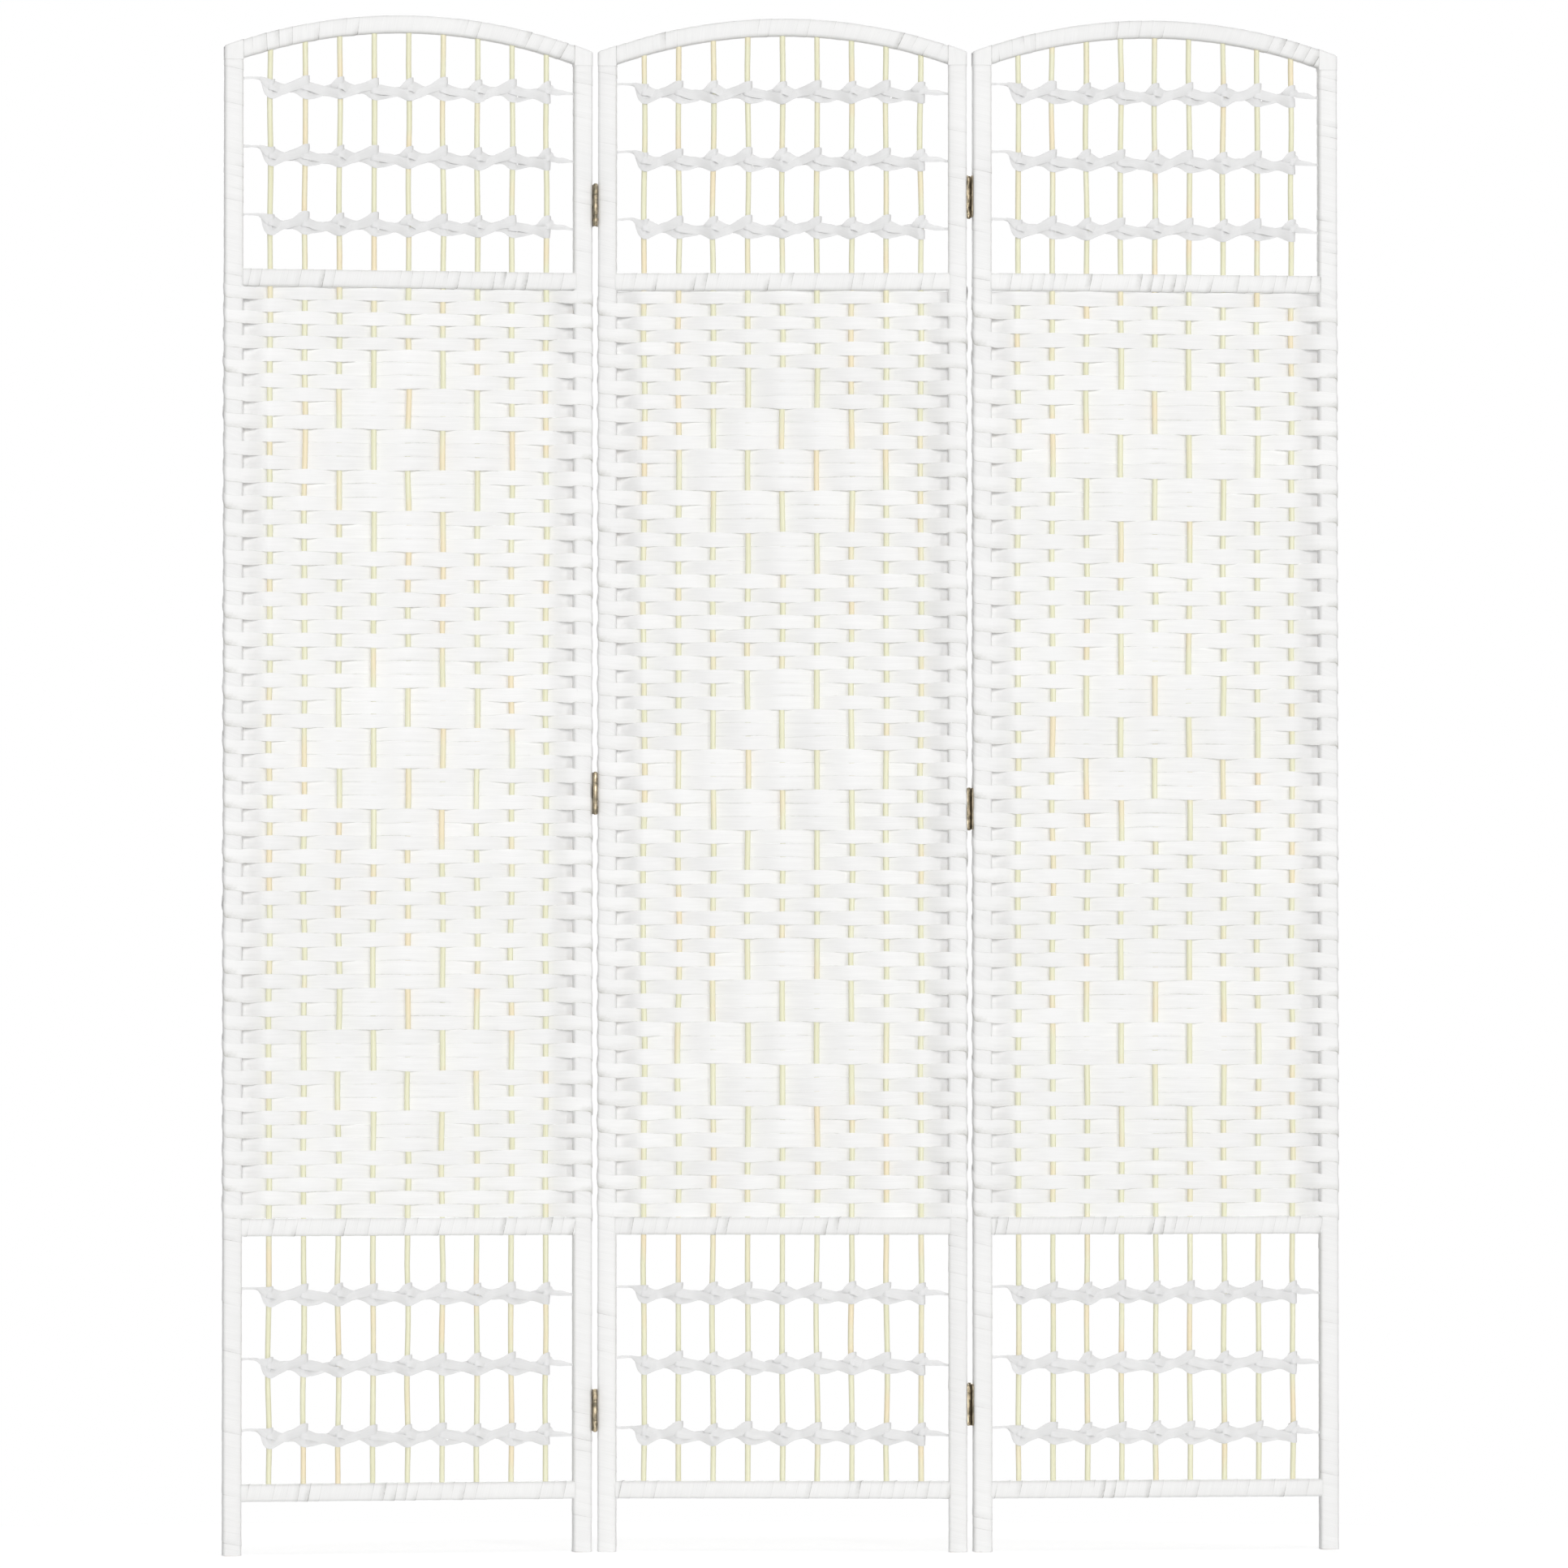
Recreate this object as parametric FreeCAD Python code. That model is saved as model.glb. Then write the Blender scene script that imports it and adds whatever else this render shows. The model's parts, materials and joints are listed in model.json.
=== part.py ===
import FreeCAD, Part
import math
import os

# Three-panel folding screen: wooden frames wrapped in paper ribbon, round sticks
# standing in each frame, flat ribbon woven between them and twisted round them.
# Millimetres, +Z up. X runs along the middle panel, the front looks towards -Y.

# Whole screen
screen_height = 1700.0          # floor to the crown of the arch
panel_width = 410.0             # over the wraps
panel_gap = 4.0                 # between two panels laid out flat
left_bend = 10.0                # degrees that each outer panel is folded at rest
right_bend = 7.0

# Frame, bare wood
stile_width = 19.0
frame_depth = 16.0
rail_height = 17.4
wood_edge_radius = 2.5
arch_rise = 37.5                # panel corner to crown, over the wrap
foot_share = 0.0344             # floor to the bottom rail, of the screen's height
lower_opening_share = 0.1597    # bottom rail to lower rail
weave_share = 0.6041            # lower rail to upper rail

# Paper ribbon
wrap_thickness = 1.3            # two to three turns of ribbon on the wood
ribbon_thickness = 0.5
ribbon_row_gap = 0.3            # between one woven row and the next
weave_clearance = 0.4           # ribbon to stick, square to the panel
lap_clearance = 0.05            # woven ribbon to the wrapped stile it crosses

# Sticks
stick_count = 9
stick_radius = 3.0
stick_pitch = 38.4
stick_seat_depth = 10.0         # into the arch and the bottom rail
stick_bore_clearance = 0.1

# Twisted ribbons above and below the weave, in shares of the opening's height
twist_height_shares = (0.19, 0.476, 0.762)
twist_width = 11.5
twist_swing = 6.0               # how far a ribbon climbs and drops from its row's centre
twist_flat = 4.0                # half of its level stretch at a stick
twist_clearance = 0.1           # ribbon to stick
left_tail_width = 2.6
right_tail_width = 5.0
tail_climb = 4.0                # tails above the row's centre

# Dowelled corners
dowel_radius = 3.0
dowel_length = 24.0
dowel_clearance = 0.05
bore_end_gap = 0.25             # past the end of a dowel or stick in its hole

# Butt hinges
hinge_height = 46.0
hinge_leaf_width = 21.0         # pin's axis to the leaf's free edge
hinge_leaf_thickness = 1.2
hinge_leaf_corner = 2.5
knuckle_radius = 2.5
middle_knuckle_height = 22.5
knuckle_end_clearance = 0.25
knuckle_side_clearance = 0.3
hinge_stand_off = 4.1           # wrapped frame's face to the pin's axis
pin_radius = 1.2
pin_running_clearance = 0.05
pin_head_radius = 1.7
pin_head_height = 0.8
left_hinge_height_shares = (0.0785, 0.480, 0.864)     # hinge's foot, of the screen's height
right_hinge_height_shares = (0.0820, 0.470, 0.870)

# Countersunk wood screws
screw_radius = 1.3
screw_length = 14.0
screw_point_length = 3.5
screw_head_radius = 2.6
screw_head_height = 1.1
screw_hole_clearance = 0.05
screw_slot_width = 0.6
screw_slot_depth = 0.5
screw_place_shares = ((0.45, 0.16), (0.76, 0.5), (0.45, 0.84))   # of leaf width, hinge height

# Weave, as the number of plain rows before, between and after three diamonds
plain_rows = {"left": (5, 7, 7, 5), "middle": (6, 7, 5, 5), "right": (4, 5, 7, 5)}
diamond_reach = (1, 2, 3, 2, 1)  # sticks each side of the middle one, block by block
rows_per_block = 3

cut_overrun = 1.0               # how far a cutting solid runs past what it cuts

# Worked out from the sizes above
half_width = panel_width / 2
wrapped_stile = stile_width + 2 * wrap_thickness
wrapped_rail = rail_height + 2 * wrap_thickness
half_depth = frame_depth / 2
wrapped_half_depth = half_depth + wrap_thickness
wrap_edge_radius = wood_edge_radius + wrap_thickness
stile_core_edge = half_width - wrap_thickness - stile_width   # where rails butt on the stile
stile_wrap_edge = half_width - wrapped_stile

lower_opening_height = lower_opening_share * screen_height
weave_height = weave_share * screen_height
bottom_rail_base = foot_share * screen_height
lower_rail_base = bottom_rail_base + wrapped_rail + lower_opening_height
weave_base = lower_rail_base + wrapped_rail
upper_rail_base = weave_base + weave_height
upper_opening_base = upper_rail_base + wrapped_rail

arch_radius = (half_width ** 2 + arch_rise ** 2) / (2 * arch_rise)
arch_centre = screen_height - arch_radius
upper_opening_height = screen_height - wrapped_rail - upper_opening_base

stick_places = [(i - (stick_count - 1) / 2) * stick_pitch for i in range(stick_count)]
hinge_axis_side = half_width + panel_gap / 2
hinge_axis_depth = wrapped_half_depth + hinge_stand_off

up = FreeCAD.Vector(0, 0, 1)
across = FreeCAD.Vector(1, 0, 0)
through = FreeCAD.Vector(0, 1, 0)


def block(low, high):
    """A box between two corners."""
    return Part.makeBox(high[0] - low[0], high[1] - low[1], high[2] - low[2], FreeCAD.Vector(*low))


def rounded_bar(low, high, radius, along):
    """A box whose four edges along one direction are rounded."""
    bar = block(low, high)
    edges = [edge for edge in bar.Edges if abs(edge.tangentAt(edge.FirstParameter).dot(along)) > 0.5]
    return bar.makeFillet(radius, edges)


def arch_disc(inset, half_thickness):
    """The disc under the arch's back, set in from its outer face, its seam at the bottom."""
    centre = FreeCAD.Vector(0, -half_thickness, arch_centre)
    disc = Part.makeCylinder(arch_radius - inset, 2 * half_thickness, centre, through)
    disc.rotate(centre, through, 180)
    return disc


def above_arch(inset):
    """All that lies over the arch's back, to trim the stiles' tops."""
    reach = half_width + cut_overrun
    deep = wrapped_half_depth + cut_overrun
    low = (-reach, -deep, upper_opening_base)
    high = (reach, deep, screen_height + cut_overrun)
    return block(low, high).cut(arch_disc(inset, deep + cut_overrun))


def arched_bar(inset, half_thickness, half_span, radius):
    """A curved bar that follows the arch, square at both ends, its long edges rounded."""
    thickness = wrapped_rail - 2 * inset
    ring = arch_disc(inset, half_thickness).cut(arch_disc(inset + thickness, 2 * half_thickness))
    edges = [edge for edge in ring.Edges if edge.Curve.TypeId == "Part::GeomCircle"]
    ring = ring.makeFillet(radius, edges)
    low = (-half_span, -half_thickness, upper_opening_base)
    high = (half_span, half_thickness, screen_height)
    return ring.common(block(low, high))


def level_bar(base, inset, half_span, radius):
    """A straight rail's bar: the wood, or with no inset the outside of its wrap."""
    deep = wrapped_half_depth - inset
    low = (-half_span, -deep, base + inset)
    high = (half_span, deep, base + wrapped_rail - inset)
    return rounded_bar(low, high, radius, across)


def upright_bar(side, inset, radius):
    """A stile's bar under the arch: the wood, or with no inset the outside of its wrap."""
    deep = wrapped_half_depth - inset
    edges = sorted((side * (half_width - inset), side * (stile_wrap_edge + inset)))
    low = (edges[0], -deep, 0)
    high = (edges[1], deep, screen_height)
    return rounded_bar(low, high, radius, up).cut(above_arch(inset))


def underside_of_arch(x):
    """Height of the bare arch's underside over a place across the panel."""
    inner = arch_radius - wrap_thickness - rail_height
    return arch_centre + math.sqrt(inner ** 2 - x ** 2)


def make_sticks(clearance, end_gap):
    """The round sticks, or with a clearance the holes that they stand in."""
    base = bottom_rail_base + wrapped_rail - wrap_thickness - stick_seat_depth - end_gap
    sticks = []
    for x in stick_places:
        top = underside_of_arch(x) + stick_seat_depth + end_gap
        foot = FreeCAD.Vector(x, 0, base)
        sticks.append(Part.makeCylinder(stick_radius + clearance, top - base, foot, up))
    return sticks


def make_dowels(clearance, end_gap):
    """The dowels across each joint of rail and stile, or the holes for them."""
    middle = wrapped_rail / 2
    heights = [base + middle for base in (bottom_rail_base, lower_rail_base, upper_rail_base)]
    arch_line = arch_radius - middle
    heights.append(arch_centre + math.sqrt(arch_line ** 2 - stile_core_edge ** 2))
    reach = dowel_length + 2 * end_gap
    dowels = []
    for side in (-1, 1):
        start = side * stile_core_edge - reach / 2
        for z in heights:
            end = FreeCAD.Vector(start, 0, z)
            dowels.append(Part.makeCylinder(dowel_radius + clearance, reach, end, across))
    return dowels


def ribbon_in_front(row, place):
    """Whether a woven row crosses in front of a stick; the stiles are places 0 and the last."""
    return (row + place) % 2 == 1


def woven_rows(panel):
    """For every row from the top, the side it takes at each stile and stick: 1 is in front."""
    flips = []
    for plain in plain_rows[panel][:-1]:
        flips += [None] * plain
        for reach in diamond_reach:
            flips += [None] * (rows_per_block // 2) + [reach] + [None] * (rows_per_block // 2)
    flips += [None] * plain_rows[panel][-1]
    middle = (stick_count + 1) / 2
    first = plain_rows[panel][0]
    rows = []
    for row, reach in enumerate(flips):
        sides = []
        for place in range(stick_count + 2):
            front = ribbon_in_front(row - first, place)
            if reach is not None and abs(place - middle) <= reach:
                front = not front
            sides.append(1 if front else -1)
        rows.append(sides)
    return rows


def make_woven_ribbons(panel):
    """Flat ribbons, one to a row, from stile to stile and bent round the sticks."""
    rows = woven_rows(panel)
    pitch = weave_height / len(rows)
    stick_offset = stick_radius + weave_clearance + ribbon_thickness / 2
    lap_offset = wrapped_half_depth + lap_clearance + ribbon_thickness / 2
    lap_end = half_width - wrap_edge_radius
    places = [-lap_end, -stile_wrap_edge] + stick_places + [stile_wrap_edge, lap_end]
    ribbons = []
    for row, sides in enumerate(rows):
        depths = [-side * stick_offset for side in sides[1:-1]]
        left = -sides[0] * lap_offset
        right = -sides[-1] * lap_offset
        line = list(zip(places, [left, left] + depths + [right, right]))
        base = weave_base + weave_height - (row + 1) * pitch + ribbon_row_gap / 2
        front = [FreeCAD.Vector(x, y - ribbon_thickness / 2, base) for x, y in line]
        back = [FreeCAD.Vector(x, y + ribbon_thickness / 2, base) for x, y in reversed(line)]
        outline = Part.makePolygon(front + back + front[:1])
        ribbons.append(Part.Face(outline).extrude(up * (pitch - ribbon_row_gap)))
    return ribbons


def twisted_ribbon(height, facing):
    """One of a row's two ribbons: it climbs over the sticks that it is looped round and
    drops under the others. The front one, facing 1, is looped round the even sticks."""
    inner = stick_radius + twist_clearance
    outer = inner + ribbon_thickness
    band = []
    loops = []
    for number, x in enumerate(stick_places, start=1):
        looped = (number % 2 == 0) == (facing == 1)
        middle = twist_swing if looped else -twist_swing
        band.append((x - twist_flat, middle, twist_width))
        band.append((x + twist_flat, middle, twist_width))
        if looped:
            base = FreeCAD.Vector(x, 0, height + middle - twist_width / 2)
            tube = Part.makeCylinder(outer, twist_width, base, up)
            loops.append(tube.cut(Part.makeCylinder(inner, twist_width, base, up)))
    band.insert(0, (-stile_wrap_edge, tail_climb, left_tail_width))
    band.append((stile_wrap_edge, tail_climb, right_tail_width))
    top = [FreeCAD.Vector(x, 0, height + z + wide / 2) for x, z, wide in band]
    bottom = [FreeCAD.Vector(x, 0, height + z - wide / 2) for x, z, wide in reversed(band)]
    strip = Part.Face(Part.makePolygon(top + bottom + top[:1])).extrude(through * ribbon_thickness)
    strip.translate(through * (-outer if facing == 1 else inner))
    return strip.fuse(loops).removeSplitter()


def make_twists(base, opening):
    """Three rows of two ribbons in an opening."""
    twists = []
    for share in twist_height_shares:
        for facing in (1, -1):
            twists.append(twisted_ribbon(base + share * opening, facing))
    return twists


# Hinges, made about the pin's axis with the hinge's foot at zero. The fixed leaf lies
# towards +X on the middle panel, the swinging leaf towards -X, and both run to +Y.

def knuckle_spans(fixed):
    """Heights of one leaf's knuckles: the ends are the fixed leaf's, the middle the other's."""
    end = (hinge_height - middle_knuckle_height) / 2
    gap = knuckle_end_clearance
    if fixed:
        return [(0, end - gap), (hinge_height - end + gap, hinge_height)]
    return [(end, hinge_height - end)]


def post(radius, low, high):
    """An upright cylinder on the pin's axis."""
    return Part.makeCylinder(radius, high - low, FreeCAD.Vector(0, 0, low), up)


def screw_places(fixed):
    """Where the screws go through a leaf, on its open face, and the way they point."""
    side = 1 if fixed else -1
    x = side * (panel_gap / 2 - hinge_leaf_thickness)
    places = []
    for wide_share, high_share in screw_place_shares:
        point = FreeCAD.Vector(x, wide_share * hinge_leaf_width, high_share * hinge_height)
        places.append((point, across * side))
    return places


def screw(point, way, clearance):
    """A countersunk screw, or with a clearance the hole that it needs in a leaf."""
    length = screw_length - screw_head_height - screw_point_length
    head_end = point + way * screw_head_height
    shank_end = head_end + way * length
    rim = screw_head_radius + clearance
    neck = screw_radius + clearance
    head = Part.makeCone(rim, neck, screw_head_height, point, way)
    shank = Part.makeCylinder(neck, length, head_end, way)
    tip = Part.makeCone(neck, 0, screw_point_length, shank_end, way)
    return head.fuse([shank, tip]).removeSplitter()


def hinge_leaf(fixed):
    """A leaf with its knuckles, countersunk holes and room for the other leaf's knuckles."""
    side = 1 if fixed else -1
    faces = sorted((side * panel_gap / 2, side * (panel_gap / 2 - hinge_leaf_thickness)))
    plate = block((faces[0], 0, 0), (faces[1], hinge_leaf_width, hinge_height))
    corners = [edge for edge in plate.Edges
               if edge.BoundBox.YMin > hinge_leaf_width / 2 and edge.BoundBox.XLength > hinge_leaf_thickness / 2]
    plate = plate.makeFillet(hinge_leaf_corner, corners)
    own = knuckle_spans(fixed)
    hole = pin_radius if fixed else pin_radius + pin_running_clearance
    leaf = plate.fuse([post(knuckle_radius, low, high) for low, high in own])
    room = knuckle_radius + knuckle_side_clearance
    gap = knuckle_end_clearance
    notches = [post(room, low - gap, high + gap) for low, high in knuckle_spans(not fixed)]
    bore = post(hole, -cut_overrun, hinge_height + cut_overrun)
    holes = [screw(point, way, screw_hole_clearance) for point, way in screw_places(fixed)]
    return leaf.cut(notches + [bore] + holes).removeSplitter()


def hinge_pin():
    """A pin with a head at each end."""
    shaft = post(pin_radius, 0, hinge_height)
    foot = post(pin_head_radius, -pin_head_height, 0)
    head = post(pin_head_radius, hinge_height, hinge_height + pin_head_height)
    return shaft.fuse([foot, head]).removeSplitter()


def slotted_screws(fixed):
    """One leaf's screws, slotted across the head."""
    screws = []
    for point, way in screw_places(fixed):
        low = point - way * cut_overrun - through * screw_slot_width / 2 - up * screw_head_radius
        slot = Part.makeBox(cut_overrun + screw_slot_depth, screw_slot_width, 2 * screw_head_radius)
        if way.x < 0:
            slot.translate(FreeCAD.Vector(-cut_overrun - screw_slot_depth, 0, 0))
        slot.translate(low)
        screws.append(screw(point, way, 0).cut(slot))
    return screws


def hinge_placement(panel_side, face, turn, height):
    """Puts a hinge at a panel's edge, on its front or back face."""
    place = FreeCAD.Vector(panel_side * hinge_axis_side, face * hinge_axis_depth, height)
    return FreeCAD.Placement(place, FreeCAD.Rotation(up, turn))


def put(shape, placement):
    """A copy of a shape, moved."""
    copy = shape.copy()
    copy.Placement = placement.multiply(copy.Placement)
    return copy


# Each hinged edge: the panel, its side, the face the pin is on, the leaf it carries
left_hinge_feet = [share * screen_height for share in left_hinge_height_shares]
right_hinge_feet = [share * screen_height for share in right_hinge_height_shares]
hinged_edges = {
    "left": [(1, -1, 0, False, left_hinge_feet)],
    "middle": [(-1, -1, 0, True, left_hinge_feet), (1, 1, 180, True, right_hinge_feet)],
    "right": [(-1, 1, 180, False, right_hinge_feet)],
}


def screw_bores(panel, side):
    """The holes that hinge screws make in one stile of a panel."""
    bores = []
    for edge_side, face, turn, fixed, feet in hinged_edges[panel]:
        if edge_side != side:
            continue
        for foot in feet:
            placement = hinge_placement(edge_side, face, turn, foot)
            bores += [put(screw(point, way, 0), placement) for point, way in screw_places(fixed)]
    return bores


def make_panel(panel):
    """All the pieces of one panel about its own middle, by name."""
    stick_bores = make_sticks(stick_bore_clearance, bore_end_gap)
    dowel_bores = make_dowels(dowel_clearance, bore_end_gap)
    rails = {
        "bottom_rail": bottom_rail_base,
        "lower_rail": lower_rail_base,
        "upper_rail": upper_rail_base,
    }
    pieces = {}
    passages = []
    rail_wraps = []
    for name, base in rails.items():
        wood = level_bar(base, wrap_thickness, stile_core_edge, wood_edge_radius)
        outside = level_bar(base, 0, stile_wrap_edge, wrap_edge_radius)
        rail_wraps.append(outside.cut([wood] + stick_bores))
        passages.append(wood)
        pieces[name] = [wood.cut(stick_bores + dowel_bores)]
    arch = arched_bar(wrap_thickness, half_depth, stile_core_edge, wood_edge_radius)
    arch_outside = arched_bar(0, wrapped_half_depth, stile_wrap_edge, wrap_edge_radius)
    pieces["arch_rail"] = [arch.cut(stick_bores + dowel_bores)]
    pieces["arch_wrap"] = [arch_outside.cut([arch] + stick_bores)]
    pieces["rail_wraps"] = rail_wraps
    passages.append(arch)
    for side, name in ((-1, "left_stile"), (1, "right_stile")):
        wood = upright_bar(side, wrap_thickness, wood_edge_radius)
        outside = upright_bar(side, 0, wrap_edge_radius)
        bores = screw_bores(panel, side)
        pieces[name] = [wood.cut(dowel_bores + bores)]
        pieces[name + "_wrap"] = [outside.cut([wood] + passages + bores)]
    pieces["sticks"] = make_sticks(0, 0)
    pieces["dowels"] = make_dowels(0, 0)
    pieces["woven_ribbons"] = make_woven_ribbons(panel)
    pieces["upper_twists"] = make_twists(upper_opening_base, upper_opening_height)
    pieces["lower_twists"] = make_twists(bottom_rail_base + wrapped_rail, lower_opening_height)
    return pieces


def panel_placement(panel):
    """Where a panel stands at rest, about the middle one."""
    if panel == "middle":
        return FreeCAD.Placement()
    side, bend = (-1, left_bend) if panel == "left" else (1, right_bend)
    axis = FreeCAD.Vector(side * hinge_axis_side, side * hinge_axis_depth, 0)
    turn = FreeCAD.Rotation(up, bend)
    own_axis = FreeCAD.Vector(-axis.x, axis.y, 0)
    return FreeCAD.Placement(axis, turn).multiply(FreeCAD.Placement(-own_axis, FreeCAD.Rotation()))


def make_hinges(joint):
    """One joint's three hinges in the middle panel's frame, by name."""
    side, turn, feet, bend = {
        "left": (-1, 0, left_hinge_feet, left_bend),
        "right": (1, 180, right_hinge_feet, right_bend),
    }[joint]
    fixed_leaf = hinge_leaf(True)
    swing_leaf = hinge_leaf(False)
    kinds = ("fixed_leaves", "swing_leaves", "pins", "fixed_screws", "swing_screws")
    pieces = {kind: [] for kind in kinds}
    for foot in feet:
        still = hinge_placement(side, side, turn, foot)
        swung = hinge_placement(side, side, turn + bend, foot)
        pieces["fixed_leaves"].append(put(fixed_leaf, still))
        pieces["swing_leaves"].append(put(swing_leaf, swung))
        pieces["pins"].append(put(hinge_pin(), still))
        pieces["fixed_screws"] += [put(each, still) for each in slotted_screws(True)]
        pieces["swing_screws"] += [put(each, swung) for each in slotted_screws(False)]
    return pieces


def make_screen():
    """Every node of the screen, its footprint centred on the origin."""
    nodes = {}
    for panel in ("left", "middle", "right"):
        placement = panel_placement(panel)
        for name, solids in make_panel(panel).items():
            nodes[panel + "_panel_" + name] = [put(solid, placement) for solid in solids]
    for joint in ("left", "right"):
        for name, solids in make_hinges(joint).items():
            nodes[joint + "_hinge_" + name] = solids
    everything = Part.makeCompound([solid for solids in nodes.values() for solid in solids])
    box = everything.optimalBoundingBox(False, False)
    centring = FreeCAD.Placement(FreeCAD.Vector(-box.Center.x, -box.Center.y, 0), FreeCAD.Rotation())
    return {name: [put(solid, centring) for solid in solids] for name, solids in nodes.items()}


os.makedirs("parts", exist_ok=True)
for name, solids in make_screen().items():
    Part.makeCompound(solids).exportStep("parts/" + name + ".step")
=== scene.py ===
import json
import math
import bpy
import numpy as np
from mathutils import Matrix, Vector


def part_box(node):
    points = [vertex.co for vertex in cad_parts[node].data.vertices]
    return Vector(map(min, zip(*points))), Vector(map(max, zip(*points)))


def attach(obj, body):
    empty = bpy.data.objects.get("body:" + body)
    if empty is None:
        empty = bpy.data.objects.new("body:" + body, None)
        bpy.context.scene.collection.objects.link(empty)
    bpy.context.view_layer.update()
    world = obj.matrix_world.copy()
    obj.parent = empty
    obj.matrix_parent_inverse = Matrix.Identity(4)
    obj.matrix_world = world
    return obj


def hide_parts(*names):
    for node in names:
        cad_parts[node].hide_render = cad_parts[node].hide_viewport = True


# Three-panel folding screen: frames wound with paper ribbon, round sticks, ribbon
# woven between them and twisted rows above and below. Each panel is modelled about
# its own middle in millimetres, x across, y from front to back, z up, and then put
# in its place in metres.

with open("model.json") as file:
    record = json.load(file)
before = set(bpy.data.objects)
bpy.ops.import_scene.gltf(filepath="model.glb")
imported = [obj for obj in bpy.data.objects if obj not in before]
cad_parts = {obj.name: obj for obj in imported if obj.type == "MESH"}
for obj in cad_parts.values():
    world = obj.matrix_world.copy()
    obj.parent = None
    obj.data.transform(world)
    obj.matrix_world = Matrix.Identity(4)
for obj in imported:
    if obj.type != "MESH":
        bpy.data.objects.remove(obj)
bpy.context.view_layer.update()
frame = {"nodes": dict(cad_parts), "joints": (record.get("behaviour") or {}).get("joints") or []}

MM = 0.001
PANELS = ("left", "middle", "right")
SIDES = {"left": -1, "right": 1}

# Frame
SCREEN_HEIGHT = 1700.0
HALF_WIDTH = 205.0
STILE_CENTRE = 194.2
STILE_EDGE = 183.4              # a wrapped stile's inner side
STILE_HALF_WIDE = 9.5
WOOD_HALF_DEEP = 8.0
RAIL_HALF_HIGH = 8.7
WOOD_ROUNDING = 2.5
WRAP = 1.3
RAIL_HALF = RAIL_HALF_HIGH + WRAP
ARCH_RISE = 37.5
ARCH_RADIUS = (HALF_WIDTH ** 2 + ARCH_RISE ** 2) / (2 * ARCH_RISE)
ARCH_CENTRE = SCREEN_HEIGHT - ARCH_RADIUS

# Sticks
STICK_COUNT = 9
STICK_RADIUS = 3.0
STICK_PITCH = 38.4
STICK_SEAT = 9.5                # into the arch
STICK_CUTS = 70
STICKS = [(number - (STICK_COUNT - 1) / 2) * STICK_PITCH for number in range(STICK_COUNT)]

# Paper ribbon
PAPER = 0.42
HEM = 0.7                       # the strip along an edge that curls and darkens

# Ribbon wound on the frame
WOUND_PITCH = 13.6
WOUND_OVERLAP = 2.4
LEAST_TURN = 1.2                # a turn cut short at a bar's end
PLAIN_LIE = (0.42, 1.0)         # how far a turn's tucked and leading edges stand off the wood
TIGHT_LIE = (0.42, 0.5)
BROAD_LIE = (0.5, 0.6)
TAB_LIE = 1.05                  # a stile's top tab off the wood
TOP_INSET = 0.9                 # a stile's turns under the arch's back
FLOOR_GAP = 0.3
UNDER_TAB = 3.0                 # how far the stile's turns run in under the tab
RAIL_RUN_IN = 2.4               # how far a rail's turns run in under the stile's
RAIL_OVERRUN = 4.0              # first and last turns of a bar, past its end

# Weave: plain rows before, between and after the three diamonds
PLAIN_ROWS = {"left": (5, 7, 7, 5), "middle": (6, 7, 5, 5), "right": (4, 5, 7, 5)}
DIAMOND_REACH = (1, 2, 3, 2, 1)
ROWS_PER_BLOCK = 3
# How far the rows ride above even spacing, at shares of the weave's height from its top
ROW_DRIFT_AT = (0, 0.094, 0.198, 0.302, 0.406, 0.51, 0.614, 0.718, 0.822, 1)
ROW_DRIFT = {
    "left": (0, 8.0, 7.0, 5.4, 4.5, 5.0, 4.3, 1.0, -1.8, 0),
    "middle": (0, 5.4, 5.0, 2.2, 2.0, 4.5, 6.0, 6.2, 3.6, 0),
    "right": (0, 0, -5.0, -6.2, -6.0, -4.7, -3.6, -3.4, -2.7, 0),
}
ROW_GAP = 0.3
ROW_LIE = 0.92                  # a row's middle off the bare stile
ROW_OVERLAP = 0.7               # over a neighbour on the sticks' other side
ROW_STEPS = (0.12, 0.3, 0.5, 0.7, 0.88)     # points of a row between two sticks
STICK_CLEARANCE = 0.1

# Twisted rows, in shares of an opening's height, and their left tails above a row's centre
TWIST_SHARES = (0.19, 0.476, 0.762)
UPPER_TAIL = 9.9
LOWER_TAIL = 7.4

# Butt hinges
HINGE_AXIS = (207.0, 13.4)      # across from a panel's middle, and off its middle plane
HINGE_FEET = {
    "left": [share * SCREEN_HEIGHT for share in (0.0785, 0.480, 0.864)],
    "right": [share * SCREEN_HEIGHT for share in (0.0820, 0.470, 0.870)],
}
HINGE_HEIGHT = 46.0
LEAF_WIDTH = 21.0
LEAF_THICKNESS = 1.2
LEAF_FACE = 2.0                 # the leaf's outer face from the pin's axis
LEAF_CORNER = 2.5
LEAF_EASE = 0.14
KNUCKLE_RADIUS = 2.5
MIDDLE_KNUCKLE = 22.5
KNUCKLE_GAP = 0.25
KNUCKLE_ROOM = 0.3
KNUCKLE_EASE = 0.22
PIN_RADIUS = 1.2
PIN_CLEARANCE = 0.04
PIN_HEAD_RADIUS = 1.7
PIN_HEAD_HEIGHT = 0.8
PIN_HEAD_SEAT = 0.02
PIN_HEAD_EASE = 0.35
SCREW_PLACES = ((0.45, 0.16), (0.76, 0.5), (0.45, 0.84))    # of leaf width, hinge height
SCREW_HEAD = (2.6, 1.3, 1.1)    # rim, neck and depth
SCREW_SINK = (2.95, 1.35, 1.45)
SCREW_HOLE = (1.4, 1.4, 3.0)
SINK_OVERRUN = 0.3
SCREW_SLOT = (1.0, 0.6, 6)
SCREW_SHANK = (1.2, 12.4, 7.2)  # radius, length and middle
THREAD_CUTS = 17


# Places

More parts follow.
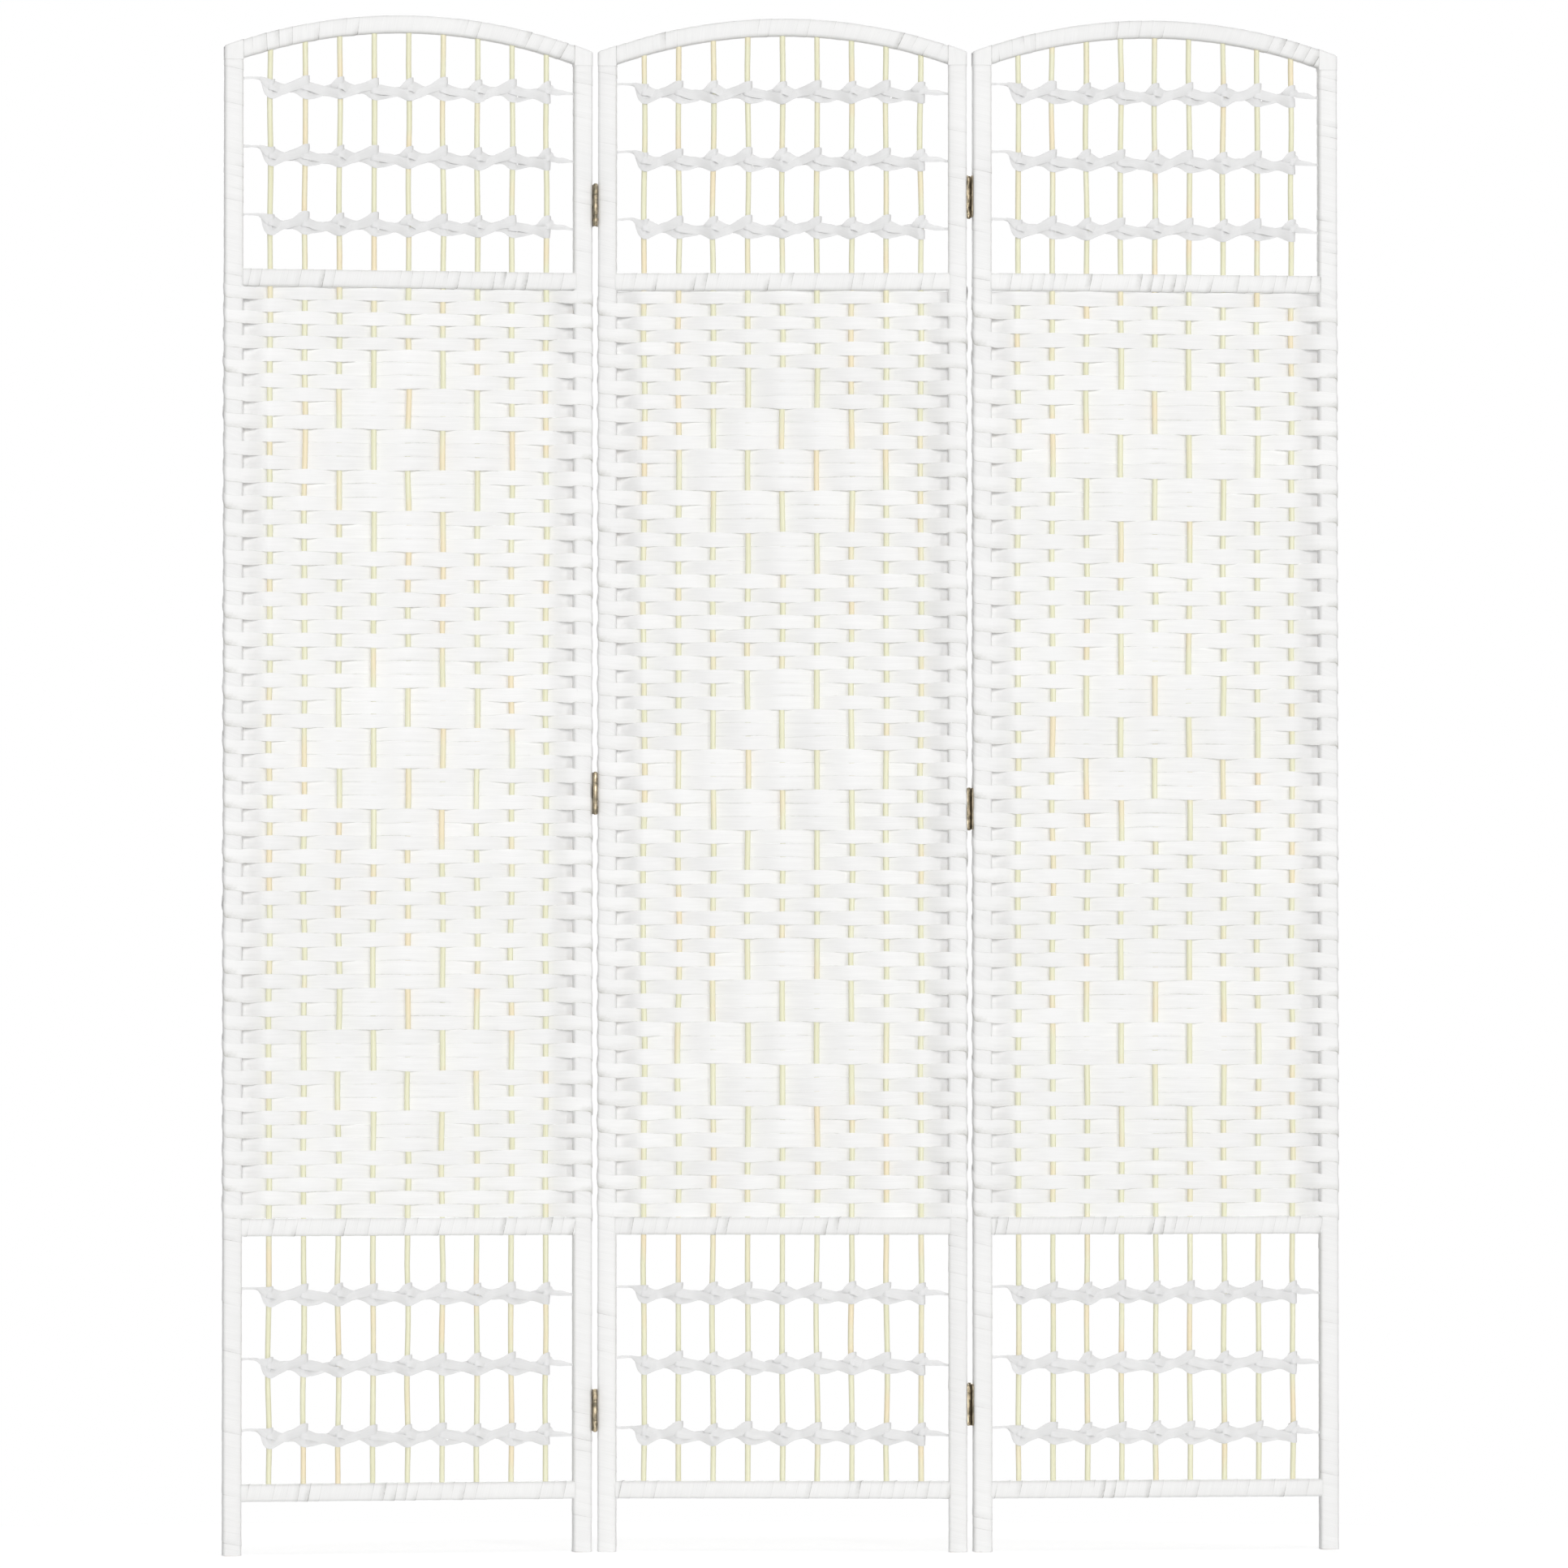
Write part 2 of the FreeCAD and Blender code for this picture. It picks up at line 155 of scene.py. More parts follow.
def cad_extent(node):
    """A middle panel node's box in millimetres, about the panel's middle."""
    low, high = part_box("middle_panel_" + node)
    return (low - middle) / MM, (high - middle) / MM


rails_low, rails_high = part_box("middle_panel_rail_wraps")
middle = Vector(((rails_low.x + rails_high.x) / 2, (rails_low.y + rails_high.y) / 2, 0))
RAIL_CENTRES = {}
for rail in ("bottom_rail", "lower_rail", "upper_rail"):
    RAIL_CENTRES[rail] = sum(corner.z for corner in cad_extent(rail)) / 2
WEAVE_BASE = RAIL_CENTRES["lower_rail"] + RAIL_HALF
WEAVE_TOP = RAIL_CENTRES["upper_rail"] - RAIL_HALF
UPPER_OPENING = (RAIL_CENTRES["upper_rail"] + RAIL_HALF, SCREEN_HEIGHT - 2 * RAIL_HALF)
LOWER_OPENING = (RAIL_CENTRES["bottom_rail"] + RAIL_HALF, RAIL_CENTRES["lower_rail"] - RAIL_HALF)
BENDS = {joint["name"][:-5]: math.radians(-joint["range_deg"][0]) for joint in frame["joints"]}


def hinge_axis(side):
    """Where the pins of the hinges on one side of the middle panel stand."""
    return middle + Vector((side * HINGE_AXIS[0], side * HINGE_AXIS[1], 0)) * MM


def hinge_place(joint, bend):
    """From a hinge's own frame, its pin upright at the origin, to the scene."""
    side = SIDES[joint]
    turn = Matrix.Rotation(bend + (math.pi if side > 0 else 0), 4, "Z")
    return Matrix.Translation(hinge_axis(side)) @ turn @ Matrix.Scale(MM, 4)


def panel_place(panel):
    """From a panel's own frame to the scene."""
    if panel == "middle":
        return Matrix.Translation(middle) @ Matrix.Scale(MM, 4)
    side = SIDES[panel]
    own = Vector((side * HINGE_AXIS[0], -side * HINGE_AXIS[1], 0)) * MM
    turn = Matrix.Rotation(BENDS[panel], 4, "Z")
    return Matrix.Translation(hinge_axis(side)) @ turn @ Matrix.Translation(own) @ Matrix.Scale(MM, 4)


def arch_height(x, inset=0.0):
    """Height of the arch's back over a place across the panel."""
    return ARCH_CENTRE + np.sqrt((ARCH_RADIUS - inset) ** 2 - np.asarray(x) ** 2)


TAB_FOOT = float(arch_height(STILE_EDGE, 2 * RAIL_HALF)) - 2.0


# Small tools

def wander(seed, at, reach):
    """A smooth wander of about one each way along a length, the same for the same seed."""
    dice = np.random.default_rng(seed)
    total = 0
    for _ in range(4):
        length = reach * dice.uniform(0.6, 1.9)
        total = total + np.sin(2 * math.pi * np.asarray(at) / length + dice.uniform(0, 6.3))
    return total / 2.2


def pick(objects):
    """Selects these objects alone, the first one active."""
    bpy.ops.object.select_all(action="DESELECT")
    for each in objects:
        each.select_set(True)
    bpy.context.view_layer.objects.active = objects[0]


def add(primitive, **settings):
    """A new piece from one of Blender's primitives, its place and turn in its mesh."""
    bpy.ops.object.select_all(action="DESELECT")
    primitive(**settings)
    bpy.ops.object.transform_apply()
    return bpy.context.object


def apply(piece, kind, **settings):
    """Adds a modifier to a piece and applies it."""
    pick([piece])
    modifier = piece.modifiers.new(kind.lower(), kind)
    for name, value in settings.items():
        setattr(modifier, name, value)
    bpy.ops.object.modifier_apply(modifier=modifier.name)


def smooth(piece, degrees):
    """Smooth shading where faces meet within an angle."""
    pick([piece])
    bpy.ops.object.shade_smooth_by_angle(angle=math.radians(degrees))


def copy_of(piece):
    """A copy of a piece with its own mesh."""
    copy = piece.copy()
    copy.data = piece.data.copy()
    bpy.context.scene.collection.objects.link(copy)
    return copy


def set_out(piece, places):
    """Copies of a piece, each put in its place, instead of the piece."""
    copies = []
    for place in places:
        copy = copy_of(piece)
        copy.data.transform(place)
        copies.append(copy)
    bpy.data.objects.remove(piece)
    return copies


def up(height):
    """A move straight up."""
    return Matrix.Translation((0, 0, height))


def join(pieces, name):
    """One object out of several."""
    pick(pieces)
    if len(pieces) > 1:
        bpy.ops.object.join()
    joined = bpy.context.view_layer.objects.active
    joined.name = name
    joined.data.name = name
    return joined


def finish_piece(pieces, whose, name, node, place, body, material, paper=False):
    """Joins pieces into one, gives ribbon its thickness, puts the piece in its place, gives it its body and
    finish, and hides the CAD node that it stands in for."""
    piece = join(pieces, whose + name)
    if paper:
        apply(piece, "SOLIDIFY", thickness=PAPER, offset=0.0, use_even_offset=False)
        smooth(piece, 60)
    piece.data.transform(place)
    piece.data.update()
    piece.data.materials.clear()
    piece.data.materials.append(material)
    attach(piece, body)
    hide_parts(whose + node)


def points_of(mesh):
    """A mesh's points, one to a row."""
    flat = np.zeros(len(mesh.vertices) * 3)
    mesh.vertices.foreach_get("co", flat)
    return flat.reshape(-1, 3)


def mark(mesh, name, values):
    """Gives a mesh's points a value each, or one value for all."""
    values = np.broadcast_to(np.asarray(values, float), len(mesh.vertices)).copy()
    mesh.attributes.new(name, "FLOAT", "POINT").data.foreach_set("value", values)


def cut_lengths(bar, axis, cuts):
    """Cuts the edges of a round bar that run along an axis into short lengths."""
    bpy.ops.object.mode_set(mode="EDIT")
    bpy.ops.mesh.select_mode(type="EDGE")
    bpy.ops.mesh.select_all(action="DESELECT")
    bpy.ops.object.mode_set(mode="OBJECT")
    mesh = bar.data
    for edge in mesh.edges:
        start, end = (mesh.vertices[number].co[axis] for number in edge.vertices)
        edge.select = abs(start - end) > 1
    bpy.ops.object.mode_set(mode="EDIT")
    bpy.ops.mesh.subdivide(number_cuts=cuts)
    bpy.ops.object.mode_set(mode="OBJECT")


blank_strips = {}


def blank_strip(length_steps, across_steps):
    """A flat sheet of faces, added once for each size and copied after that."""
    key = (length_steps, across_steps)
    if key not in blank_strips:
        blank_strips[key] = add(bpy.ops.mesh.primitive_grid_add, size=1,
                                x_subdivisions=length_steps, y_subdivisions=across_steps)
    return copy_of(blank_strips[key])


def ribbon(points, shade, tone, along=None):
    """A strip of ribbon laid on rows of points, each row from one edge to the other.

    shade darkens it towards its edges, tone sets it apart from its neighbours."""
    steps, rows = points.shape[0] - 1, points.shape[1] - 1
    strip = blank_strip(steps, rows)
    mesh = strip.data
    flat = points_of(mesh)
    i = np.rint((flat[:, 0] + 0.5) * steps).astype(int)
    j = np.rint((flat[:, 1] + 0.5) * rows).astype(int)
    mesh.vertices.foreach_set("co", points[i, j].ravel())
    if along is None:
        centre_steps = np.linalg.norm(np.diff(points[:, rows // 2], axis=0), axis=1)
        along = np.concatenate([[0], np.cumsum(centre_steps)])
    across_steps = np.linalg.norm(np.diff(points, axis=1), axis=2)
    across = np.concatenate([np.zeros((steps + 1, 1)), np.cumsum(across_steps, axis=1)], axis=1)
    corner = np.zeros(len(mesh.loops), int)
    mesh.loops.foreach_get("vertex_index", corner)
    spread = np.stack([along[i[corner]], across[i[corner], j[corner]]], axis=1)
    mesh.uv_layers[0].data.foreach_set("uv", spread.ravel())
    mark(mesh, "edge_shade", shade[i, j].ravel())
    mark(mesh, "tone", tone)
    return strip


# Ribbon wound on the frame

def bar_section(half_wide):
    """Points and outward directions once round a bar, starting in the middle of its side.

    The first axis is along the front, the second from front to back."""
    u, v = half_wide - WOOD_ROUNDING, WOOD_HALF_DEEP - WOOD_ROUNDING
    points = [((-half_wide, 0), (-1, 0))]
    for corner, start in (((-u, -v), 180), ((u, -v), 270), ((u, v), 0), ((-u, v), 90)):
        for turn in (0, 45, 90):
            angle = math.radians(start + turn)
            way = (math.cos(angle), math.sin(angle))
            points.append(((corner[0] + WOOD_ROUNDING * way[0], corner[1] + WOOD_ROUNDING * way[1]), way))
        if start == 180:
            points.append(((0, -WOOD_HALF_DEEP), (0, -1)))
        if start == 0:
            points.append(((0, WOOD_HALF_DEEP), (0, 1)))
    return np.array(points)


def wind(seed, section, place_at, turns, limits, openness, lie=PLAIN_LIE, dark=1.0):
    """A ribbon wound along a bar. turns are the places of each turn's middle and its width, and place_at
    puts section points at a distance along the bar. The edge that leads along the bar lies over the next
    turn, close to it but for the share of loose turns that openness gives, whose seams get painted shade as
    dark as dark says."""
    dice = np.random.default_rng(seed)
    base, way = section[:, 0], section[:, 1]
    steps = np.linalg.norm(np.diff(np.vstack([base, base[:1]]), axis=0), axis=1)
    round_share = np.concatenate([[0], np.cumsum(steps)[:-1]]) / steps.sum()
    numbers = np.arange(len(turns))
    count = len(turns) - 1
    laps = np.repeat(np.arange(count), len(base)) + np.tile(round_share, count)
    laps = np.append(laps, count)
    index = np.append(np.tile(np.arange(len(base)), count), 0)
    middles = np.interp(laps, numbers, turns[:, 0]) + 0.35 * wander(seed + 1, laps, 2.3)
    widths = np.interp(laps, numbers, turns[:, 1])
    loose = dice.random(len(turns)) < openness
    open_turn = np.where(loose, dice.uniform(0.45, 1, len(turns)), dice.uniform(0, 0.1, len(turns)))
    open_here = np.interp(laps, numbers, open_turn)
    open_here = np.clip(open_here * (0.8 + 0.5 * wander(seed + 2, laps, 0.9)), 0, 1)
    trail = np.clip(middles - widths / 2, limits[0], limits[1] - LEAST_TURN)
    lead = np.clip(middles + widths / 2, trail + LEAST_TURN, limits[1])
    tucked, proud = lie
    lift = tucked + (proud - tucked) * (0.3 + 0.7 * open_here) + 0.06 * wander(seed + 3, laps, 1.7)
    wide = lead - trail
    hem = np.minimum(HEM, wide / 4)
    rows = [
        (trail, np.full_like(lift, tucked)),
        (trail + hem, np.full_like(lift, tucked + 0.03)),
        (trail + wide * 0.55, tucked + (lift - tucked) * 0.72),
        (lead - hem, lift),
        (lead, lift - 0.04),
    ]
    points = np.zeros((len(laps), len(rows), 3))
    for row, (distance, offset) in enumerate(rows):
        points[:, row] = place_at(base[index] + way[index] * offset[:, None], distance)
    # Painted shade along the leading edge of each loose turn, the shadow in its open seam
    shade = np.zeros((len(laps), len(rows)))
    shade[:, -1] = dark * open_here
    shade[:, -2] = 0.4 * (dark * open_here) ** 2
    return ribbon(points, shade, dice.uniform(), laps * steps.sum())


def even_turns(seed, start, end, pitch=WOUND_PITCH):
    """Middles and widths of turns between two places along a bar, from a turn before the
    first to a turn past the second."""
    start, end = start - pitch, end + pitch
    dice = np.random.default_rng(seed)
    count = max(2, round((end - start) / pitch))
    steps = dice.uniform(0.8, 1.2, count)
    edges = start + np.concatenate([[0], np.cumsum(steps)]) / steps.sum() * (end - start)
    widths = np.append(np.diff(edges), edges[-1] - edges[-2]) + WOUND_OVERLAP
    return np.stack([edges, widths], axis=1)


def wound_stile(seed, side, behind, row):
    """Both ends of a stile wound in close turns, and one broad turn for every woven row that
    passes behind it, its seams under the rows in front. behind are those rows' heights."""
    section = bar_section(STILE_HALF_WIDE)

    def place_at(across, distance):
        x = side * STILE_CENTRE + across[:, 0]
        z = np.minimum(SCREEN_HEIGHT - distance, arch_height(x) - TOP_INSET)
        return np.stack([x, across[:, 1], np.maximum(z, FLOOR_GAP)], axis=1)

    top = SCREEN_HEIGHT - float(arch_height(STILE_CENTRE))
    tab = SCREEN_HEIGHT - TAB_FOOT
    start = tab - UNDER_TAB
    limits = (start, SCREEN_HEIGHT)
    under = even_turns(seed + 2, top - 6, tab)
    strips = [wind(seed + 30, section, place_at, under, (top - 22, tab), 0.0, TIGHT_LIE)]
    above_weave = (start, SCREEN_HEIGHT - WEAVE_TOP)
    below_weave = (SCREEN_HEIGHT - WEAVE_BASE, SCREEN_HEIGHT + 4)
    for number, zone in enumerate((above_weave, below_weave)):
        turns = even_turns(seed + number, *zone)
        strips.append(wind(seed + 10 * number, section, place_at, turns, limits, 0.28, dark=0.6))
    turns = np.array([(SCREEN_HEIGHT - height - row / 2, 1.9 * row) for height in behind])
    turns = np.vstack([turns, turns[-1] + (2 * row, 0)])
    strips.append(wind(seed + 20, section, place_at, turns, limits, 0.0, BROAD_LIE))
    return strips


def stile_top(seed, side):
    """A broad tab of ribbon folded over a stile's top, over its first turns, with its outer
    edge brought round the stile's front and back corners."""
    dice = np.random.default_rng(seed)
    face = WOOD_HALF_DEEP + TAB_LIE
    columns = [(STILE_EDGE - STILE_CENTRE + 0.5, face, 0.1), (-9.2, face, 0), (0, face, 0), (5.0, face, 0)]
    bend = WOOD_ROUNDING + TAB_LIE
    for turn, drop in ((0, 0), (30, 0), (60, 0.25), (90, 0.7)):
        angle = math.radians(turn)
        out = STILE_HALF_WIDE - WOOD_ROUNDING + bend * math.sin(angle)
        columns.append((out, WOOD_HALF_DEEP - WOOD_ROUNDING + bend * math.cos(angle), drop))
    foot = TAB_FOOT + dice.uniform(-0.8, 0.8)
    points = []
    for out, depth, drop in columns:
        x = side * (STILE_CENTRE + out)
        top = float(arch_height(x)) - 0.3 - drop
        front = [(-depth, z) for z in (foot, foot + HEM, foot + 9, top - 3, top - 1.5)]
        front += [(-depth + 0.45, top - 0.5), (-depth + 1.5, top)]
        fold = front + [(0, top)] + [(-y, z) for y, z in reversed(front)]
        points.append([(x, y, z) for y, z in fold])
    points = np.array(points).transpose(1, 0, 2)
    # Painted shade along the tab's lower ends, front and back, and unevenly along its inner seam
    shade = np.zeros(points.shape[:2])
    shade[0] = shade[-1] = 0.25
    ragged = 0.2 * wander(seed, np.arange(len(shade)), 6)
    shade[:, 0] = np.clip(dice.uniform(0.1, 0.6) + ragged, 0, 1)
    return ribbon(points, shade, dice.uniform(0.3, 0.8))


def wound_rail(seed, height):
    """A level rail wound from stile to stile, the seams leaning right on the front."""
    def place_at(across, distance):
        return np.stack([distance, across[:, 1], height + across[:, 0]], axis=1)

    end = STILE_EDGE + RAIL_OVERRUN
    reach = STILE_EDGE + RAIL_RUN_IN
    section = bar_section(RAIL_HALF_HIGH)
    return wind(seed, section, place_at, even_turns(seed, -end, end), (-reach, reach), 0.5)


def wound_arch(seed):
    """The arched rail wound along its curve, opened out a little over the back."""
    line = ARCH_RADIUS - RAIL_HALF
    span = line * math.asin(STILE_EDGE / line)
    reach = STILE_EDGE + RAIL_RUN_IN

    def place_at(across, distance):
        radius = line + across[:, 0]
        angle = np.clip(distance / line, -1, 1)
        x = np.clip(radius * np.sin(angle), -reach, reach)
        z = ARCH_CENTRE + np.sqrt(radius ** 2 - x ** 2)
        return np.stack([x, across[:, 1], z], axis=1)

    end = span + RAIL_OVERRUN
    section = bar_section(RAIL_HALF_HIGH)
    turns = even_turns(seed, -end, end, WOUND_PITCH + 1)
    openness = np.interp(np.abs(turns[:, 0]), (0.55 * span, 0.9 * span), (0.25, 0.85))
    return wind(seed, section, place_at, turns, (-span - 6, span + 6), openness)


# Woven rows

def woven_sides(panel):
    """For every row from the top, the side it takes at each stile and stick: 1 is in front."""
    half_block = [None] * (ROWS_PER_BLOCK // 2)
    flips = []
    for plain in PLAIN_ROWS[panel][:-1]:
        flips += [None] * plain
        for reach in DIAMOND_REACH:
            flips += half_block + [reach] + half_block
    flips += [None] * PLAIN_ROWS[panel][-1]
    rows = []
    for row, reach in enumerate(flips):
        sides = []
        for place in range(STICK_COUNT + 2):
            front = (row - PLAIN_ROWS[panel][0] + place) % 2 == 1
            if reach is not None and abs(place - (STICK_COUNT + 1) / 2) <= reach:
                front = not front
            sides.append(1 if front else -1)
        rows.append(sides)
    return rows


def row_edges(panel, count):
    """The heights that divide the rows, from the top one's upper edge down."""
    share = np.linspace(0, 1, count + 1)
    return WEAVE_TOP - (WEAVE_TOP - WEAVE_BASE) * share + np.interp(share, ROW_DRIFT_AT, ROW_DRIFT[panel])


def stile_end(side, facing):
    """A row's path from the middle of a stile's outer side to its inner edge, with the share
    of the climb to the next row that it has made at each point."""
    corner_x = side * (STILE_CENTRE + STILE_HALF_WIDE - WOOD_ROUNDING)
    corner_y = -facing * (WOOD_HALF_DEEP - WOOD_ROUNDING)
    radius = WOOD_ROUNDING + ROW_LIE
    face = -facing * (WOOD_HALF_DEEP + ROW_LIE)
    points = [(side * (STILE_CENTRE + STILE_HALF_WIDE + ROW_LIE), 0, 1.0)]
    for angle, share in ((0, 0.62), (30, 0.42), (60, 0.26), (90, 0.16)):
        turn = math.radians(angle)
        x = corner_x + side * radius * math.cos(turn)
        y = corner_y - facing * radius * math.sin(turn)
        points.append((x, y, share))
    points.append((side * STILE_CENTRE, face, 0.08))
    points.append((side * (STILE_CENTRE - 5.5), face, 0.03))
    points.append((side * (STILE_EDGE + 1.6), face + facing * 0.5, 0.0))
    return points


def row_path(sides):
    """A woven row's line across the panel, with its climb at the ends."""
    offset = STICK_RADIUS + STICK_CLEARANCE + PAPER / 2
    depths = [-side * offset for side in sides[1:-1]]
    left = stile_end(-1, sides[0])
    right = stile_end(1, sides[-1])
    path = [(x, y, share * sides[0]) for x, y, share in left]
    stops = [left[-1][:2]] + list(zip(STICKS, depths)) + [right[-1][:2]]
    for (x0, y0), (x1, y1) in zip(stops, stops[1:]):
        for t in ROW_STEPS:
            eased = min(max((t - 0.05) / 0.9, 0), 1)
            eased = 0.55 * eased * eased * (3 - 2 * eased) + 0.45 * eased
            path.append((x0 + (x1 - x0) * t, y0 + (y1 - y0) * eased, 0))
        path.append((x1, y1, 0))
    path.pop()
    path += [(x, y, -share * sides[-1]) for x, y, share in reversed(right)]
    return np.array(path)


def row_cover(path, sides, beside):
    """How far a row reaches over its neighbour: only where the two are on opposite sides."""
    if beside is None:
        return np.zeros(len(path))
    places = np.array([-STILE_CENTRE] + STICKS + [STILE_CENTRE])
    apart = np.array([own != other for own, other in zip(sides, beside)], float)
    nearest = np.abs(path[:, 0][:, None] - places).argmin(axis=1)
    depth = np.abs(path[:, 1])
    cover = ROW_OVERLAP * np.clip((depth - 0.8) / 2.2, 0, 1) + 0.08 * np.clip(depth - 3.4, 0, 5)
    return apart[nearest] * cover


def woven_row(panel, row, sides, above, below, top, base):
    """One row of the weave between its two shared edges, turned round both stiles. above and
    below are its neighbours' sides, top and base the heights of its edges."""
    first_seed = 1000 * (PANELS.index(panel) + 1)
    seed = first_seed + 7 * row
    dice = np.random.default_rng(seed)
    path = row_path(sides)
    x, y, climb = path.T
    z, pitch = (top + base) / 2, top - base
    inside = np.abs(x) < STILE_EDGE + 1

    def edge(number):
        line = first_seed + 7 * number + 3
        return np.where(inside, 0.45 * wander(line, x, 150) + 0.2 * wander(line + 1, x, 45), 0)

    # Edges, pinched in where the row climbs round a stile
    gap = ROW_GAP + 0.22 * wander(seed + 5, x, 70)
    flare = np.where(inside, 0, 0.4)
    side_pinch = np.clip((np.abs(climb) - 0.4) / 0.6, 0, 1)
    lift = climb * pitch / 2
    high = z + pitch / 2 + edge(row) - gap / 2 + flare - 2.0 * side_pinch
    high = high + lift + np.where(inside, row_cover(path, sides, above), 0)
    low = z - pitch / 2 + edge(row + 1) + gap / 2 - flare + 2.0 * side_pinch
    low = low + lift - np.where(inside, row_cover(path, sides, below), 0)

    # The bulge of the paper away from the sticks, small beside a hinge's leaf
    tangent = np.gradient(path[:, :2], axis=0)
    normal = np.stack([tangent[:, 1], -tangent[:, 0]], axis=1)
    normal /= np.linalg.norm(normal, axis=1)[:, None]
    outward = np.sign(normal[:, 0] * x + normal[:, 1] * y)
    outward = np.where(inside, np.where(y < 0, 1, -1), outward)
    feet = HINGE_FEET["left"] + HINGE_FEET["right"]
    near_leaf = any(foot - 14 < z < foot + HINGE_HEIGHT + 14 for foot in feet)
    swell = 0 if near_leaf else float(np.clip(0.9 + 0.35 * dice.normal(), 0.2, 1.4))
    bulge = outward * (0.16 + swell * side_pinch)
    leaning = 0.14 * wander(seed + 9, x, 60)
    tall = high - low
    heights = ((low, 0.0), (low + HEM, 0.55), (low + tall / 2, 1.0), (high - HEM, 0.55), (low + tall, 0.0))
    points = np.zeros((len(x), len(heights), 3))
    for j, (height, arc) in enumerate(heights):
        shift = bulge * arc + leaning * ((height - low) / tall - 0.5) * 2
        points[:, j] = np.stack([x + normal[:, 0] * shift, y + normal[:, 1] * shift, height], axis=1)

    # Painted shade in the seams: here and there along the row, under a row that passes in front of a stile
    # beside it, and at the stiles' outer corners
    shade = np.zeros(points.shape[:2])
    ahead = np.where(x < 0, sides[0], sides[-1]) > 0
    near = np.clip((np.abs(x) - STILE_EDGE + 40) / 40, 0, 1) * ahead * dice.uniform(0.3, 1.0)
    dark = 0.75 if dice.uniform() < 0.14 else 0.22
    seam = np.clip(dark + 0.5 * wander(seed + 11, x, 60), 0.03, 1)
    at_stile = np.clip(0.7 + 0.4 * wander(seed + 13, x, 9), 0.2, 1)
    shade[:, 0] = np.where(inside, np.maximum(seam, near), at_stile)
    shade[:, 1] = 0.3 * np.maximum(seam - 0.5, near) ** 2
    shade[:, -1] = 0.5 * seam
    tone = dice.uniform()
    for end in (-1, 1):
        corner = np.clip((end * x - STILE_CENTRE + 4) / 9, 0, 1) * (dice.uniform() < 0.4)
        shade[:, 0] = np.maximum(shade[:, 0], corner)
        shade[:, 1] = np.maximum(shade[:, 1], 0.6 * corner)
    return ribbon(points, shade, tone)


# Twisted rows. A ribbon's course is given as place, depth, height, width, facing and roll.

# From the middle of one gap over the stick that a ribbon is looped round to the next gap
FRONT_LOOP = (
    (-13.5, -2.2, 1.6, 10.8, 0, 2),
    (-6.0, -3.9, 4.6, 11.8, 0, 8),
    (-0.2, -4.5, 6.9, 12.0, 2, 8),
    (3.1, -3.6, 7.9, 11.0, 38, 8),
    (4.6, -0.4, 8.0, 10.0, 88, 4),
    (2.9, 3.2, 7.3, 9.4, 140, 0),
    (-0.9, 4.2, 6.2, 9.2, 188, 0),
    (-3.8, 1.9, 4.8, 9.4, 240, 0),
    (-4.1, -1.2, 3.4, 10.0, 296, -4),
    (-1.8, -3.75, 2.2, 10.6, 345, -10),
    (3.8, -3.5, 0.9, 11.4, 362, -20),
    (8.6, -2.4, -0.1, 11.8, 360, -16),
    (13.6, -1.5, -1.3, 11.4, 360, -8),
    (19.2, -1.0, -2.4, 11.2, 360, 4),
)
REAR_LOOP = (
    (-13.6, -0.8, -1.8, 10.8, 0, 4),
    (-8.0, -1.9, -0.9, 11.0, 0, 10),
    (-4.0, -3.7, 2.6, 11.4, 0, 10),
    (-0.2, -4.3, 5.6, 11.8, 2, 6),
    (3.1, -3.5, 7.0, 11.0, 38, 4),
    (4.6, -0.4, 7.4, 10.0, 88, 2),
    (2.9, 3.2, 7.1, 9.4, 140, 0),
    (-0.9, 4.2, 5.6, 9.2, 188, 0),
    (-3.8, 1.9, 4.2, 9.4, 240, 0),
    (-4.1, -1.2, 3.6, 10.2, 296, -4),
    (-1.6, -4.1, 4.3, 11.2, 345, -10),
    (3.9, -3.6, 3.2, 11.4, 362, -20),
    (9.2, -1.4, 1.2, 11.4, 360, -14),
    (14.2, 0.2, -0.1, 10.8, 360, -6),
    (19.2, 0.9, -0.5, 10.2, 360, 2),
)
# The rear ribbon's first loop hangs lower, by this much from its fourth row on
FIRST_LOOP_DROPS = (2.6, 3.0, 3.0, 2.8, 2.2, 1.6, 1.0, 1.2, 1.0, 0.6, 0.0, 0.0)

# Before the foot of a stick, the front ribbon over the other one
FRONT_PASS = (
    (-13.0, -1.7, -3.3, 11.2, 0, 12),
    (-6.0, -2.9, -5.2, 11.2, 0, 20),
    (-1.2, -3.75, -6.2, 11.8, 0, 12),
    (1.4, -3.75, -6.5, 11.6, 0, -12),
    (5.2, -3.4, -6.1, 10.8, 0, -22),
    (9.4, -2.6, -4.5, 11.2, 0, -18),
    (14.2, -1.5, -2.2, 11.2, 0, -9),
    (19.2, -1.0, -0.5, 10.4, 0, -2),
)


def rear_pass(lean):
    """The rear ribbon's pass. lean opens it out where it is turned half on edge."""
    return (
        (-12.5, 0.6, -1.0, 10.2, 0, 0),
        (-6.5, -1.6, -2.9, 10.2, 0, 4),
        (-2.4, -3.2, -5.3, 10.4, 0, 8),
        (1.2, -3.3, -7.2, 9.2, 0, 0),
        (5.6, -2.0, -9.4 + 2.7 * lean, 4.6 + 5.8 * lean, 0, -16),
        (11.5, -0.2, -6.9, 9.8, 0, -12),
        (17.0, -0.1, -4.2, 10.8, 0, -8),
    )


